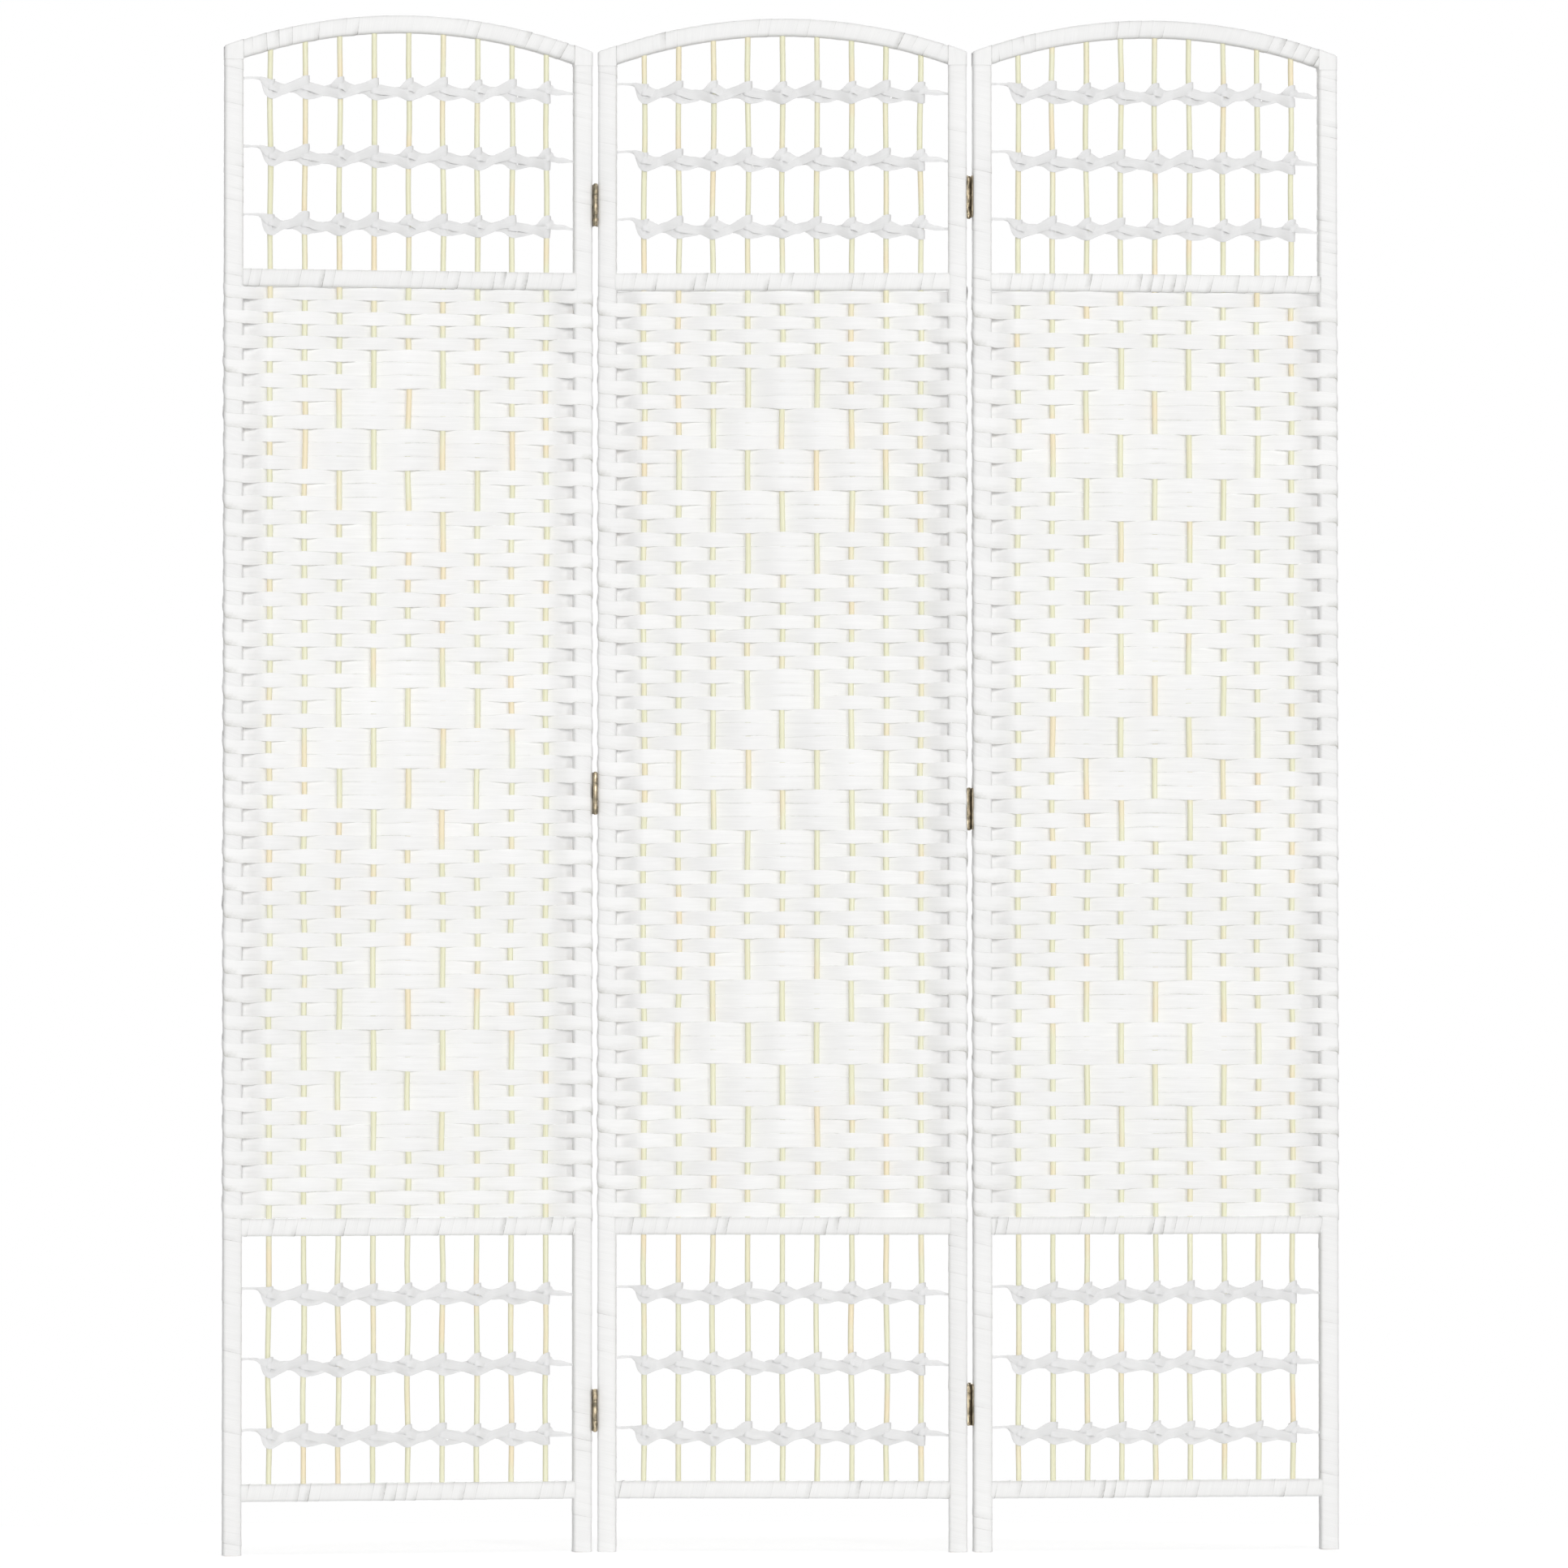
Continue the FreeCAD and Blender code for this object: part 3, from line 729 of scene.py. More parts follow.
# Ends, about the last stick: the front ribbon's is tucked round it, the other's is a tail
FRONT_END = (
    (3.0, -2.7, -6.9, 10.4, 45, 0),
    (4.2, 0.4, -6.4, 9.6, 95, 0),
    (2.2, 3.4, -5.6, 9.0, 145, 0),
    (-1.6, 4.0, -4.2, 8.2, 190, 0),
)
REAR_END = (
    (5.8, -3.0, 1.9, 8.2, 0, -14),
    (8.8, -2.0, 0.9, 6.3, 0, -4),
    (13.0, -1.2, 0.6, 5.9, 0, 2),
    (18.5, -0.7, 0.4, 5.7, 0, 4),
    (22.5, -0.6, -0.2, 4.5, 0, 0),
    (26.5, -0.5, -0.9, 3.1, 0, 0),
    (30.6, -0.4, -1.2, 2.4, 0, 0),
)


def twist_course(dice, front, tail):
    """The whole course of one of a twisted row's two ribbons, the front one looped round
    the even sticks, with its tails at both stiles."""
    first, last = STICKS[0], STICKS[-1]
    depth = 0.45 if front else -0.45
    course = [
        (-STILE_EDGE - 1.0, depth, tail, 2.3, 0, 10),
        (-STILE_EDGE + 7.0, -depth, tail + 0.1, 2.2, 0, -20),
        (first - 13.5, depth, tail, 2.6, 0, 15),
    ]
    if front:
        course.append((first - 8.4, -0.9, tail - 2.6, 5.2, 0, 0))
        course.append((first - 4.6, -2.5, 1.1, 9.4, 0, 6))
        course.append((first - 1.6, -3.5, -4.4, 11.2, 0, 8))
    else:
        course.append((first - 8.8, -1.9, tail - 1.6, 6.4, 0, -4))
    turns = 0
    for number, x in enumerate(STICKS, start=1):
        looped = (number % 2 == 0) == front
        if looped:
            rows = FRONT_LOOP if front else REAR_LOOP
        else:
            lean = dice.uniform() ** 0.7
            rows = FRONT_PASS if front else rear_pass(lean)
        if number == 1:
            rows = rows[3:]
            if looped:
                rows = [(x0, y, z - drop, *rest) for (x0, y, z, *rest), drop in zip(rows, FIRST_LOOP_DROPS)]
        if number == STICK_COUNT:
            rows = rows[:12] if looped else rows[:3]
        course += [(x + row[0], *row[1:4], row[4] + turns, row[5]) for row in rows]
        turns += 360 if looped else 0
    end = FRONT_END if front else REAR_END
    course += [(last + row[0], *row[1:4], row[4] + turns, row[5]) for row in end]
    return np.array(course, float)


def smooth_course(course):
    """A course with its rows joined by smooth curves, in two or three steps each."""
    count = len(course)
    spots = []
    for i in range(count - 1):
        length = np.linalg.norm(course[i + 1, :3] - course[i, :3])
        pieces = 2 if length < 4.5 else 3
        spots += [i + step / pieces for step in range(pieces)]
    spots.append(count - 1)
    spots = np.array(spots, float)
    i = np.minimum(spots.astype(int), count - 2)
    t = (spots - i)[:, None]
    before, start, end, after = (course[np.clip(i + step, 0, count - 1)] for step in (-1, 0, 1, 2))
    return 0.5 * (2 * start + (end - before) * t + (2 * before - 5 * start + 4 * end - after) * t ** 2
                  + (3 * start - before - 3 * end + after) * t ** 3)


def twisted_ribbon(seed, front, tail):
    """One ribbon of a twisted row about the row's centre."""
    line = smooth_course(twist_course(np.random.default_rng(seed), front, tail))
    centre = line[:, :3].copy()
    centre[:, 2] += 0.35 * wander(seed, centre[:, 0], 90) + 0.55 * wander(seed + 6, centre[:, 0], 34)
    x = centre[:, 0]
    half = line[:, 3] / 2 * (1 + 0.09 * wander(seed + 1, x, 26))
    facing = np.radians(line[:, 4])
    roll = np.radians(line[:, 5] + 4 * wander(seed + 2, x, 60))[:, None]
    normal = np.stack([np.sin(facing), -np.cos(facing), np.zeros_like(facing)], axis=1)
    tangent = np.gradient(centre, axis=0)
    tangent /= np.linalg.norm(tangent, axis=1)[:, None]
    wide = np.cross(normal, tangent)
    wide /= np.linalg.norm(wide, axis=1)[:, None]
    normal = np.cross(tangent, wide)
    leaned = wide * np.cos(roll) + normal * np.sin(roll)
    normal = normal * np.cos(roll) - wide * np.sin(roll)
    # Across the ribbon, from edge to edge, as shares of its half width and of its curl
    section = ((-1, 0.0), (-0.86, 0.16), (-0.3, 0.34), (0.35, 0.34), (0.86, 0.16), (1, 0.0))
    points = np.zeros((len(centre), len(section), 3))
    for j, (share, curl) in enumerate(section):
        points[:, j] = centre + leaned * (half * share)[:, None] + normal * (curl * half / 5)[:, None]
    # Drawn in between the sticks
    away = np.abs((points[:, :, 0] / STICK_PITCH + 0.5) % 1 - 0.5) * STICK_PITCH
    held = np.abs(points[:, :, 0]) < STICKS[-1] + 4
    drawn = np.interp(away, (0, 4.5, 9, 14, 19.2), (1.04, 1.03, 0.95, 0.89, 0.94))
    points[:, :, 2] *= np.where(held, drawn, 1)
    # Painted shade along both edges, heavier along the first
    shade = np.zeros(points.shape[:2])
    shade[:, 0] = np.clip(0.35 + 0.4 * wander(seed + 3, x, 30), 0, 1)
    shade[:, -1] = 0.6 * np.clip(0.3 + 0.4 * wander(seed + 4, x, 30), 0, 1)
    return ribbon(points, shade, np.random.default_rng(seed).uniform())


# Sticks

def stick_shift(seed, z):
    """How far a stick stands off its line, nothing where it goes through a rail."""
    held = np.ones_like(z)
    for centre in list(RAIL_CENTRES.values()) + [float(arch_height(0)) - RAIL_HALF]:
        held = held * np.clip((np.abs(z - centre) - 14) / 40, 0, 1)
    return 0.7 * held * wander(seed, z, 210)


def round_stick(seed, x, low, high):
    """A round stick, a little bent and uneven, in many short lengths."""
    stick = add(bpy.ops.mesh.primitive_cylinder_add, vertices=12, radius=STICK_RADIUS, depth=high - low,
                location=(x, 0, (low + high) / 2), end_fill_type="TRIFAN")
    cut_lengths(stick, 2, STICK_CUTS)
    points = points_of(stick.data)
    z = points[:, 2]
    swell = 1 + 0.035 * wander(seed + 1, z, 260) + 0.012 * wander(seed + 2, z, 60)
    points[:, 0] = x + (points[:, 0] - x) * swell + stick_shift(seed, z)
    points[:, 1] = points[:, 1] * swell
    stick.data.vertices.foreach_set("co", points.ravel())
    mark(stick.data, "tone", np.random.default_rng(seed).uniform())
    smooth(stick, 50)
    return stick


# Hinges, about the pin, the fixed leaf towards +x and both leaves back to +y. A side of 1 is
# the fixed leaf's, -1 the swinging leaf's.

def cut_with(piece, cutters):
    """Cuts other solids out of a piece."""
    for cutter in cutters:
        apply(piece, "BOOLEAN", operation="DIFFERENCE", solver="EXACT", object=cutter)
        bpy.data.objects.remove(cutter)


def ease(piece, width, degrees):
    """Bevels the edges where faces meet at more than an angle."""
    angle = math.radians(degrees)
    apply(piece, "BEVEL", width=width, segments=2, limit_method="ANGLE", angle_limit=angle)


def upright_bar(radius, low, high, rim=0, sides=28):
    """An upright round bar on the pin's axis, its rims eased."""
    bar = add(bpy.ops.mesh.primitive_cylinder_add, vertices=sides, radius=radius,
              depth=high - low, location=(0, 0, (low + high) / 2))
    if rim:
        ease(bar, rim, 60)
    return bar


def taper(place, rim, neck, depth):
    """A cone that stands on its wide end, put in its place."""
    cone = add(bpy.ops.mesh.primitive_cone_add, vertices=24, radius1=rim, radius2=neck,
               depth=depth, location=(0, 0, depth / 2))
    cone.data.transform(place)
    return cone


def screw_spots(side):
    """Where a leaf's screws go in at its open face."""
    x = side * (LEAF_FACE - LEAF_THICKNESS)
    return [(x, wide * LEAF_WIDTH, high * HINGE_HEIGHT) for wide, high in SCREW_PLACES]


def hinge_leaf(side):
    """A leaf with rounded outer corners, countersunk holes and its knuckles."""
    plate = add(bpy.ops.mesh.primitive_cube_add, size=1,
                location=(side * (LEAF_FACE - LEAF_THICKNESS / 2), LEAF_WIDTH / 2, HINGE_HEIGHT / 2),
                scale=(LEAF_THICKNESS, LEAF_WIDTH, HINGE_HEIGHT))
    mesh = plate.data
    weights = mesh.attributes.new("bevel_weight_edge", "FLOAT", "EDGE")
    for edge in mesh.edges:
        start, end = (mesh.vertices[number].co for number in edge.vertices)
        outer = min(start.y, end.y) > LEAF_WIDTH / 2 and abs(start.x - end.x) > LEAF_THICKNESS / 2
        weights.data[edge.index].value = 1.0 if outer else 0.0
    apply(plate, "BEVEL", width=LEAF_CORNER, segments=5, limit_method="WEIGHT")
    point = Matrix.Rotation(side * math.pi / 2, 4, "Y")
    holes = []
    for x, y, z in screw_spots(side):
        place = Matrix.Translation((x - side * SINK_OVERRUN, y, z)) @ point
        holes += [taper(place, *SCREW_SINK), taper(place, *SCREW_HOLE)]
    end = (HINGE_HEIGHT - MIDDLE_KNUCKLE) / 2
    spans = [(0, end - KNUCKLE_GAP), (HINGE_HEIGHT - end + KNUCKLE_GAP, HINGE_HEIGHT)]
    others = [(end, HINGE_HEIGHT - end)]
    if side < 0:
        spans, others = others, spans
    for low, high in others:
        holes.append(upright_bar(KNUCKLE_RADIUS + KNUCKLE_ROOM, low - KNUCKLE_GAP, high + KNUCKLE_GAP))
    cut_with(plate, holes)
    ease(plate, LEAF_EASE, 50)
    knuckles = []
    for low, high in spans:
        knuckle = upright_bar(KNUCKLE_RADIUS, low, high, KNUCKLE_EASE)
        cut_with(knuckle, [upright_bar(PIN_RADIUS + PIN_CLEARANCE, low - 1, high + 1)])
        knuckles.append(knuckle)
    leaf = join([plate] + knuckles, "leaf")
    smooth(leaf, 35)
    return leaf


def hinge_pin():
    """A pin with a domed head at each end."""
    parts = [upright_bar(PIN_RADIUS, 0, HINGE_HEIGHT, sides=20)]
    top = HINGE_HEIGHT - PIN_HEAD_SEAT
    for low, high in ((-PIN_HEAD_HEIGHT, PIN_HEAD_SEAT), (top, HINGE_HEIGHT + PIN_HEAD_HEIGHT)):
        parts.append(upright_bar(PIN_HEAD_RADIUS, low, high, PIN_HEAD_EASE, 20))
    pin = join(parts, "pin")
    smooth(pin, 40)
    return pin


def wood_screw():
    """A countersunk screw along x with a slot, its thread rolled in rings."""
    head = taper(Matrix.Rotation(math.pi / 2, 4, "Y"), *SCREW_HEAD)
    cut_with(head, [add(bpy.ops.mesh.primitive_cube_add, size=1, scale=SCREW_SLOT)])
    radius, length, middle_at = SCREW_SHANK
    shank = add(bpy.ops.mesh.primitive_cylinder_add, vertices=12, radius=radius, depth=length,
                location=(middle_at, 0, 0), rotation=(0, math.pi / 2, 0))
    cut_lengths(shank, 0, THREAD_CUTS)
    vertices = shank.data.vertices
    rings = sorted({round(vertex.co.x, 3) for vertex in vertices})
    for vertex in vertices:
        ring = rings.index(round(vertex.co.x, 3))
        point = min(1.0, (rings[-1] - vertex.co.x) / 3.5 + 0.08)
        size = (1.05 if ring % 2 else 0.78) * point
        vertex.co.y *= size
        vertex.co.z *= size
    screw = join([head, shank], "screw")
    smooth(screw, 40)
    return screw


# Materials

def put(tree, kind, inputs=(), **settings):
    """Adds a shader node with its settings, and with numbers, colours or other nodes' outputs
    in its sockets."""
    node = tree.nodes.new(kind)
    for name, value in settings.items():
        setattr(node, name, value)
    for label, value in dict(inputs).items():
        socket = node.inputs[label]
        if isinstance(value, bpy.types.NodeSocket):
            tree.links.new(value, socket)
        else:
            socket.default_value = (*value, 1) if socket.type == "RGBA" else value
    return node


def object_place(tree):
    """Places on the object itself."""
    return put(tree, "ShaderNodeTexCoord").outputs["Object"]


def marked(tree, name):
    """A value that a piece's points carry."""
    return put(tree, "ShaderNodeAttribute", attribute_name=name).outputs["Fac"]


def scaled(tree, vector, scale):
    """A vector stretched along its axes."""
    return put(tree, "ShaderNodeMapping", {"Vector": vector, "Scale": scale}).outputs["Vector"]


def noise(tree, vector, scale, detail, roughness=0.5):
    """A noise value over a vector."""
    inputs = {"Vector": vector, "Scale": scale, "Detail": detail, "Roughness": roughness}
    return put(tree, "ShaderNodeTexNoise", inputs).outputs["Fac"]


def remap(tree, value, low, high, to_low, to_high):
    """A value moved from one range to another, held at its ends."""
    inputs = {"Value": value, "From Min": low, "From Max": high, "To Min": to_low, "To Max": to_high}
    return put(tree, "ShaderNodeMapRange", inputs).outputs["Result"]


def calculate(tree, operation, first, second):
    """A sum, product or maximum of two values."""
    return put(tree, "ShaderNodeMath", {0: first, 1: second}, operation=operation).outputs["Value"]


def blend(tree, factor, first, second, mode="MIX"):
    """Two colours mixed by a factor."""
    inputs = {"Factor": factor, 6: first, 7: second}
    return put(tree, "ShaderNodeMix", inputs, data_type="RGBA", blend_type=mode).outputs[2]


def new_group(name, **labels):
    """A node group that works out a surface from sockets of each kind, as (tree, inputs)."""
    tree = bpy.data.node_groups.new(name, "ShaderNodeTree")
    for kind, kind_labels in labels.items():
        for label in kind_labels:
            tree.interface.new_socket(label, in_out="INPUT", socket_type="NodeSocket" + kind)
    for label, kind in (("Color", "Color"), ("Roughness", "Float"), ("Height", "Float")):
        tree.interface.new_socket(label, in_out="OUTPUT", socket_type="NodeSocket" + kind)
    return tree, tree.nodes.new("NodeGroupInput").outputs


def paper_group():
    """Pressed paper ribbon: creases along it, soft patches, and painted shade along its edges where the
    seams are.
    """
    tree, given = new_group("paper_ribbon", Vector=("Run", "Place"), Float=("Tone", "Edge Shade"),
                            Color=("Paper", "Worn"))
    run = given["Run"]
    fine = noise(tree, scaled(tree, run, (0.010, 1.7, 1)), 1.0, 3.0, 0.6)
    broad = noise(tree, scaled(tree, run, (0.03, 0.22, 1)), 1.0, 2.0)
    cloud = noise(tree, given["Place"], 9.0, 2.0)
    light = remap(tree, fine, 0.35, 0.7, 0.955, 1.0)
    for change in (remap(tree, broad, 0.3, 0.7, -0.03, 0.0), remap(tree, cloud, 0.3, 0.7, -0.02, 0.01),
                   remap(tree, given["Tone"], 0, 1, -0.035, 0.0)):
        light = calculate(tree, "ADD", light, change)
    grey = put(tree, "ShaderNodeCombineColor", {"Red": light, "Green": light, "Blue": light})
    color = blend(tree, 1.0, given["Paper"], grey.outputs["Color"], "MULTIPLY")
    # Painted shade in the seams along the ribbon's edges, uneven along its run
    ragged = noise(tree, scaled(tree, run, (0.25, 0.6, 1)), 1.0, 2.0)
    seam_shade = calculate(tree, "MULTIPLY", given["Edge Shade"], remap(tree, ragged, 0.3, 0.65, 0.45, 1.0))
    color = blend(tree, seam_shade, color, given["Worn"])
    rough = remap(tree, fine, 0.3, 0.7, 0.62, 0.48)
    height = calculate(tree, "ADD", fine, calculate(tree, "MULTIPLY", broad, 0.8))
    put(tree, "NodeGroupOutput", {"Color": color, "Roughness": rough, "Height": height})
    return tree


def grain_group():
    """Wood grain along an axis, with slow changes of colour down the piece."""
    tree, given = new_group("wood_grain", Vector=("Grain", "Drift"), Color=("Pale", "Deep", "Warm"))
    lines = noise(tree, given["Grain"], 1.0, 4.0, 0.6)
    drift = noise(tree, given["Drift"], 1.0, 2.0)
    color = blend(tree, remap(tree, lines, 0.35, 0.7, 0.0, 1.0), given["Pale"], given["Deep"])
    color = blend(tree, remap(tree, drift, 0.52, 0.66, 0.0, 0.9), color, given["Warm"])
    rough = remap(tree, lines, 0.3, 0.7, 0.5, 0.66)
    put(tree, "NodeGroupOutput", {"Color": color, "Roughness": rough, "Height": lines})
    return tree


def metal_group():
    """Handled metal: tarnish in patches and fine scratches."""
    tree, given = new_group("worn_metal", Vector=("Place",), Color=("Bright", "Tarnish"))
    patches = noise(tree, given["Place"], 150.0, 3.0, 0.55)
    scratches = noise(tree, scaled(tree, given["Place"], (2600, 2600, 160)), 1.0, 3.0)
    color = blend(tree, remap(tree, patches, 0.38, 0.62, 0.0, 1.0), given["Bright"], given["Tarnish"])
    rough = remap(tree, patches, 0.35, 0.65, 0.34, 0.5)
    rough = calculate(tree, "ADD", rough, remap(tree, scratches, 0.3, 0.7, 0.0, 0.1))
    put(tree, "NodeGroupOutput", {"Color": color, "Roughness": rough, "Height": scratches})
    return tree


def new_material(name):
    """A material without any nodes, as (material, tree)."""
    material = bpy.data.materials.new(name)
    material.use_nodes = True
    material.node_tree.nodes.clear()
    return material, material.node_tree


def shade_by(tree, group, inputs, strength, depth, shine=()):
    """Shades a material by a group's colour, roughness and relief, its depth in millimetres."""
    surface = put(tree, "ShaderNodeGroup", inputs, node_tree=group).outputs
    relief = {"Height": surface["Height"], "Strength": strength, "Distance": depth * MM}
    finish = {"Base Color": surface["Color"], "Roughness": surface["Roughness"]}
    finish["Normal"] = put(tree, "ShaderNodeBump", relief).outputs["Normal"]
    shader = put(tree, "ShaderNodeBsdfPrincipled", {**finish, **dict(shine)})
    put(tree, "ShaderNodeOutputMaterial", {"Surface": shader.outputs["BSDF"]})


def paper_material(name, paper, seam_shade, depth):
    """A ribbon's finish from its own run, its place and its edges."""
    material, tree = new_material(name)
    inputs = {"Run": put(tree, "ShaderNodeUVMap").outputs["UV"], "Place": object_place(tree),
              "Tone": marked(tree, "tone"), "Edge Shade": marked(tree, "edge_shade"),
              "Paper": paper, "Worn": seam_shade}
    sheen = {"Specular IOR Level": 0.35, "Sheen Weight": 0.08, "Sheen Roughness": 0.5}
    shade_by(tree, PAPER_GROUP, inputs, 0.5, depth, sheen)
    return material


def wood_material(name, grain, drift, colors, by_stick=False):
    """A wood finish, its grain stretched along the piece, and set apart stick by stick."""
    material, tree = new_material(name)
    place = object_place(tree)
    slow = scaled(tree, place, drift)
    if by_stick:
        apart = calculate(tree, "MULTIPLY", marked(tree, "tone"), 40.0)
        slow = put(tree, "ShaderNodeVectorMath", {0: slow, 1: apart}, operation="ADD").outputs["Vector"]
    inputs = {"Grain": scaled(tree, place, grain), "Drift": slow}
    inputs.update(zip(("Pale", "Deep", "Warm"), colors))
    shade_by(tree, GRAIN_GROUP, inputs, 0.35, 0.15)
    return material


def metal_material(name, bright, tarnish):
    """A plated or brass finish."""
    material, tree = new_material(name)
    inputs = {"Place": object_place(tree), "Bright": bright, "Tarnish": tarnish}
    shade_by(tree, METAL_GROUP, inputs, 0.3, 0.05, {"Metallic": 1.0})
    return material


PAPER_GROUP = paper_group()
GRAIN_GROUP = grain_group()
METAL_GROUP = metal_group()
PINE = ((0.72, 0.54, 0.33), (0.55, 0.37, 0.20), (0.66, 0.46, 0.26))
BEECH = ((0.74, 0.52, 0.34), (0.60, 0.39, 0.24), (0.70, 0.46, 0.30))
PEELED = ((0.86, 0.853, 0.65), (0.78, 0.768, 0.525), (0.89, 0.77, 0.54))
# Each paper's second colour is the painted shade of its darkened seams and edges
WOUND = paper_material("wound_white_paper", (0.91, 0.908, 0.902), (0.14, 0.13, 0.11), 0.10)
WOVEN = paper_material("woven_white_paper", (0.93, 0.928, 0.922), (0.36, 0.35, 0.30), 0.10)
TWISTED = paper_material("twisted_white_paper", (0.82, 0.82, 0.82), (0.56, 0.56, 0.56), 0.22)
REED = wood_material("peeled_reed", (700, 700, 14), (20, 20, 11), PEELED, by_stick=True)
UPRIGHT_PINE = wood_material("pine_upright", (420, 420, 9), (12, 12, 3), PINE)
LEVEL_PINE = wood_material("pine_level", (9, 420, 420), (3, 12, 12), PINE)
DOWEL_BEECH = wood_material("beech_dowel", (11, 600, 600), (4, 14, 14), BEECH)
BRASS = metal_material("aged_brass", (0.46, 0.385, 0.27), (0.16, 0.14, 0.10))
SCREW_METAL = metal_material("plated_screw", (0.60, 0.50, 0.34), (0.32, 0.26, 0.17))

for name, node in frame["nodes"].items():
    for ending, wood in (("_stile", UPRIGHT_PINE), ("_rail", LEVEL_PINE), ("_dowels", DOWEL_BEECH)):
        if name.endswith(ending):
            for slot in node.material_slots:
                slot.material = wood


# Panels

def lay(pieces, panel, name, node, material, paper=True):
    """One finished piece of a panel."""
    body = panel + "_panel"
    finish_piece(pieces, body + "_", name, node, panel_place(panel), body, material, paper)


for number, panel in enumerate(PANELS):
    sides_by_row = woven_sides(panel)
    edges = row_edges(panel, len(sides_by_row))
    pitch = (WEAVE_TOP - WEAVE_BASE) / len(sides_by_row)
    for side, end, name in ((-1, 0, "left_stile"), (1, -1, "right_stile")):
        passing = [row for row, sides in enumerate(sides_by_row) if sides[end] < 0]
        behind = [(edges[row] + edges[row + 1]) / 2 for row in passing]
        strips = wound_stile(100 * number + 17 * (side + 2), side, behind, pitch)
        strips.append(stile_top(60 + 2 * number + side, side))
        lay(strips, panel, name + "_winding", name + "_wrap", WOUND)
    lay([wound_arch(500 + 31 * number)], panel, "arch_winding", "arch_wrap", WOUND)
    rails = []
    for k, height in enumerate(RAIL_CENTRES.values()):
        rails.append(wound_rail(700 + 100 * number + 13 * k, height))
    lay(rails, panel, "rail_windings", "rail_wraps", WOUND)

    around = [None] + sides_by_row + [None]
    rows = []
    for row, sides in enumerate(sides_by_row):
        rows.append(woven_row(panel, row, sides, around[row], around[row + 2], edges[row], edges[row + 1]))
    lay(rows, panel, "weave", "woven_ribbons", WOVEN)

    openings = (("upper", UPPER_OPENING, UPPER_TAIL, 0), ("lower", LOWER_OPENING, LOWER_TAIL, 50))
    for name, (base, top), tail, apart in openings:
        strips = []
        for k, share in enumerate(TWIST_SHARES):
            for front in (True, False):
                seed = 3000 + 100 * number + 10 * k + (5 if front else 0) + apart
                strips.append(twisted_ribbon(seed, front, tail))
                strips[-1].data.transform(up(base + share * (top - base)))
        lay(strips, panel, name + "_lattice", name + "_twists", TWISTED)

    base = cad_extent("sticks")[0].z
    sticks = []
    for k, x in enumerate(STICKS):
        top = float(arch_height(x, 2 * RAIL_HALF - WRAP)) + STICK_SEAT
        sticks.append(round_stick(5000 + 100 * number + k, x, base, top))
    lay(sticks, panel, "reeds", "sticks", REED, paper=False)

for sheet in blank_strips.values():
    bpy.data.objects.remove(sheet)

for joint in ("left", "right"):
    hinge = joint + "_hinge_"
    feet = HINGE_FEET[joint]
    stands = [up(foot) for foot in feet]
    leaves = (("fixed", 1, "middle_panel", 0), ("swing", -1, joint + "_panel", BENDS[joint]))
    for kind, side, body, bend in leaves:
        place = hinge_place(joint, bend)
        turn = Matrix.Rotation(0 if side > 0 else math.pi, 4, "Z")
        spots = [Matrix.Translation((x, y, z + foot)) @ turn
                 for foot in feet for x, y, z in screw_spots(side)]
        finish_piece(set_out(hinge_leaf(side), stands), hinge + kind, "_plates", "_leaves",
                     place, body, BRASS)
        finish_piece(set_out(wood_screw(), spots), hinge + kind, "_slotted_screws", "_screws",
                     place, body, SCREW_METAL)
    finish_piece(set_out(hinge_pin(), stands), hinge, "headed_pins", "pins",
                 hinge_place(joint, 0), "middle_panel", BRASS)


# Floor, light and camera

WHITE = (1, 1, 1)


def seen_plain(tree):
    """One where the camera, a reflection or a view through something meets the ground."""
    path = put(tree, "ShaderNodeLightPath").outputs
    seen = calculate(tree, "MAXIMUM", path["Is Camera Ray"], path["Is Glossy Ray"])
    return calculate(tree, "MAXIMUM", seen, path["Is Transmission Ray"])


def mixed(tree, factor, first, second):
    """Two shaders mixed by a factor."""
    return put(tree, "ShaderNodeMixShader", {0: factor, 1: first, 2: second}).outputs["Shader"]


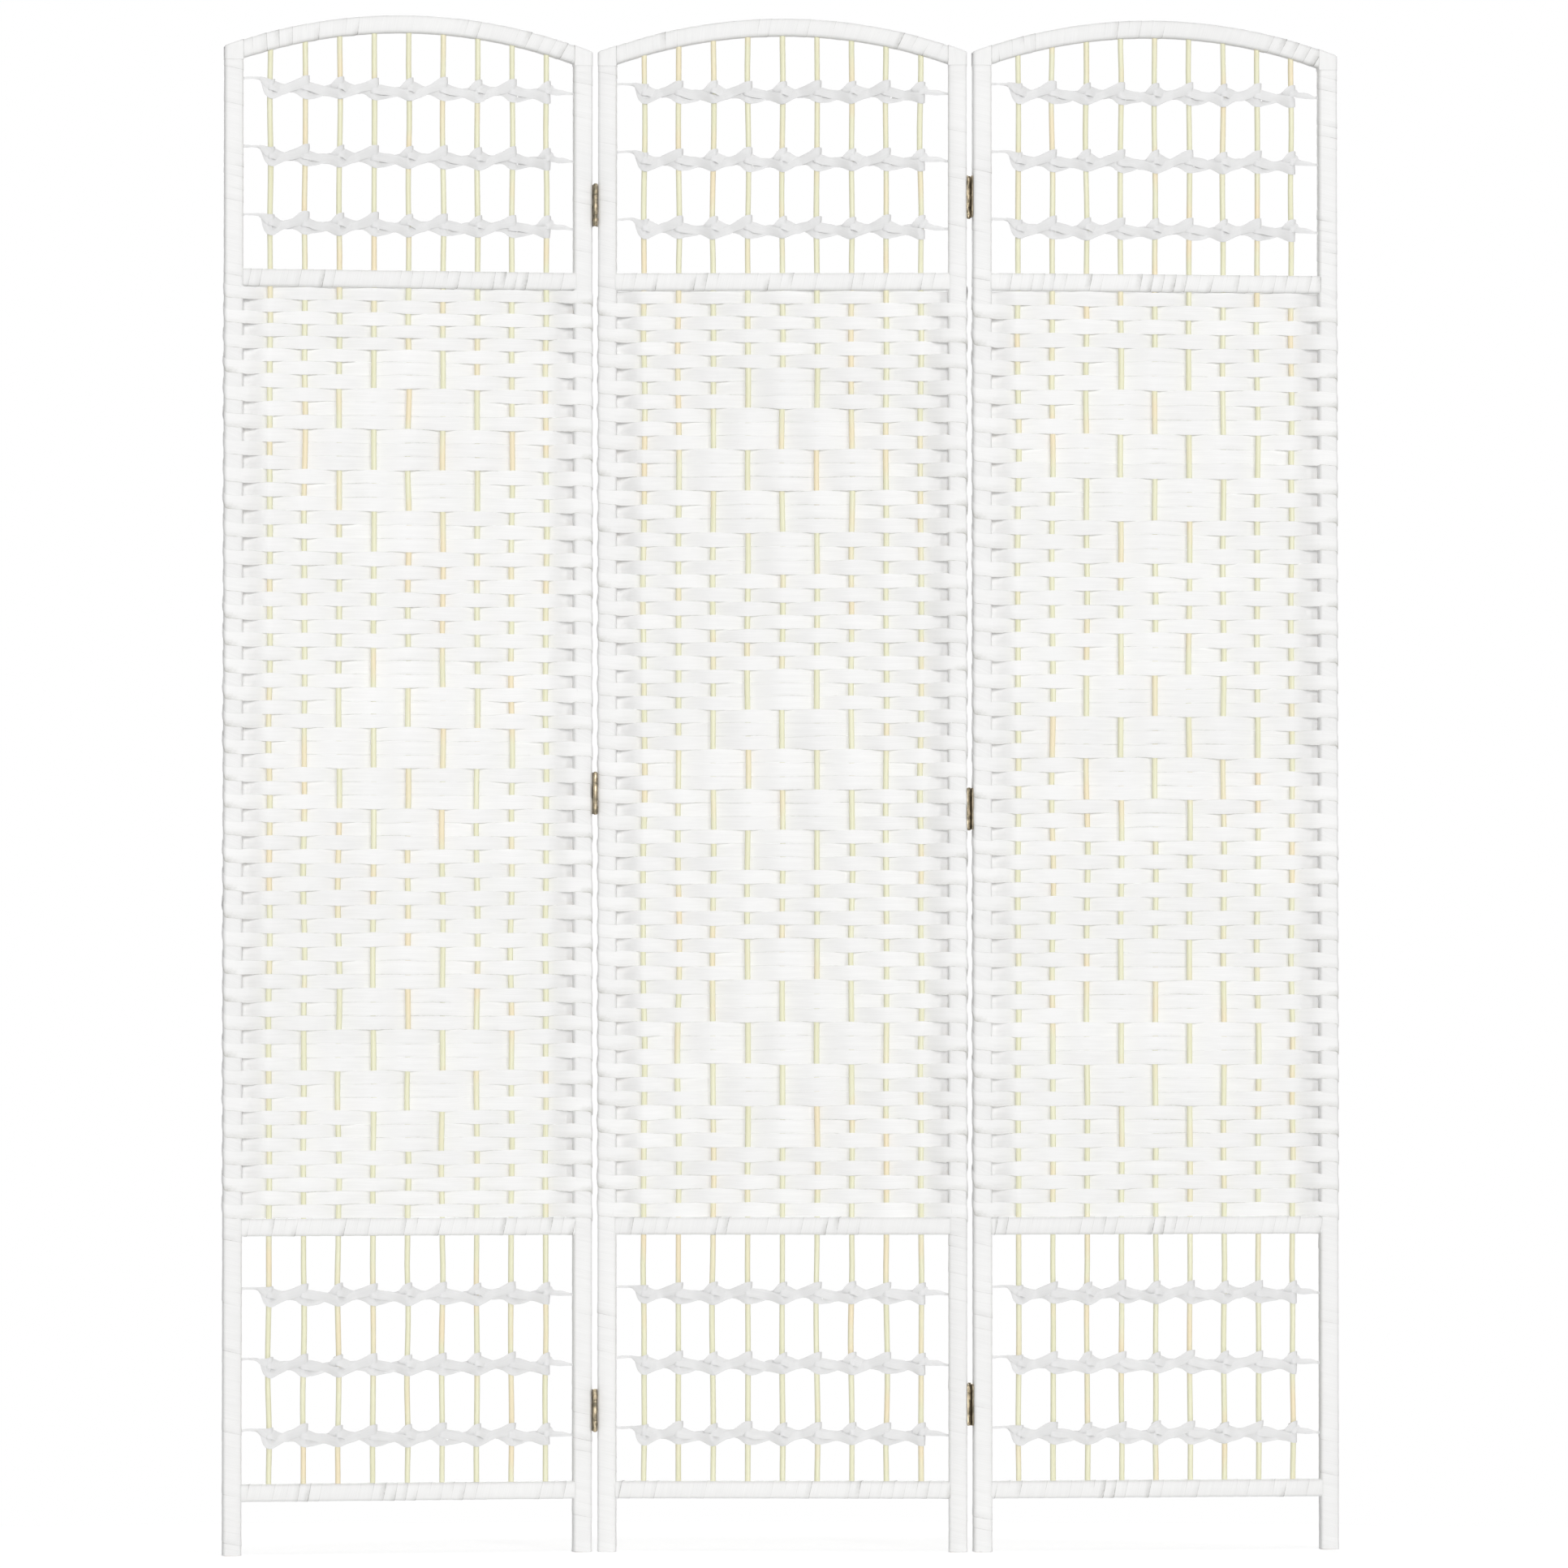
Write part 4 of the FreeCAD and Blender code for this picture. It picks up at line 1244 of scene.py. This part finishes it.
# A pale floor that takes the shadow near the feet and is plain white farther off
floor_finish, tree = new_material("pale_floor")
stretched = scaled(tree, object_place(tree), (0.75, 2.2, 1))
away = put(tree, "ShaderNodeVectorMath", {0: stretched}, operation="LENGTH").outputs["Value"]
pale = {"Base Color": (0.93, 0.93, 0.93), "Roughness": 0.9, "Specular IOR Level": 0.0}
pale = put(tree, "ShaderNodeBsdfPrincipled", pale).outputs["BSDF"]
glow = {"Color": WHITE, "Strength": remap(tree, away, 0.45, 1.1, 1.42, 1.0)}
glow = put(tree, "ShaderNodeEmission", glow).outputs["Emission"]
factor = calculate(tree, "MULTIPLY", seen_plain(tree), remap(tree, away, 0.45, 1.1, 0.5, 1.0))
put(tree, "ShaderNodeOutputMaterial", {"Surface": mixed(tree, factor, pale, glow)})
floor = add(bpy.ops.mesh.primitive_plane_add, size=60)
floor.name = "floor"
floor.data.materials.append(floor_finish)

world = bpy.data.worlds.new("plain_studio")
bpy.context.scene.world = world
world.use_nodes = True
tree = world.node_tree
tree.nodes.clear()
lighting, plain = (
    put(tree, "ShaderNodeBackground", {"Color": WHITE, "Strength": strength}).outputs["Background"]
    for strength in (0.255, 1.0)
)
put(tree, "ShaderNodeOutputWorld", {"Surface": mixed(tree, seen_plain(tree), lighting, plain)})

# Soft suns: azimuth (0 shines along +Y, 90 along -X), elevation, spread and strength
SUNS = {
    "front_light": (2, 5, 14, 1.36),
    "key_light": (36, 11, 9, 0.54),
    "top_light": (0, 72, 40, 0.52),
    "back_light": (184, 22, 40, 1.15),
}
for name, (azimuth, elevation, spread, strength) in SUNS.items():
    light = bpy.data.lights.new(name, "SUN")
    light.energy = strength
    light.angle = math.radians(spread)
    lamp = bpy.data.objects.new(name, light)
    bpy.context.scene.collection.objects.link(lamp)
    turn, rise = math.radians(azimuth), math.radians(elevation)
    toward = Vector((math.sin(turn) * math.cos(rise), -math.cos(turn) * math.cos(rise), math.sin(rise)))
    lamp.location = toward * 6
    lamp.rotation_euler = toward.to_track_quat("Z", "Y").to_euler()

CAMERA_DISTANCE = 9.0
CAMERA_HEIGHT = 0.646
CAMERA_TURN = math.radians(0.8)
CAMERA_AIM = (math.radians(91.295), 0, math.radians(0.7885))
CAMERA_LENS = 186.4
camera = bpy.data.objects.new("camera", bpy.data.cameras.new("camera"))
bpy.context.scene.collection.objects.link(camera)
camera.data.lens = CAMERA_LENS
camera.data.sensor_width = 36.0
back_off = Vector((math.sin(CAMERA_TURN), -math.cos(CAMERA_TURN), 0)) * CAMERA_DISTANCE
camera.location = middle + back_off + Vector((0, 0, CAMERA_HEIGHT))
camera.rotation_euler = CAMERA_AIM
bpy.context.scene.camera = camera

bpy.context.scene.view_settings.view_transform = "Standard"
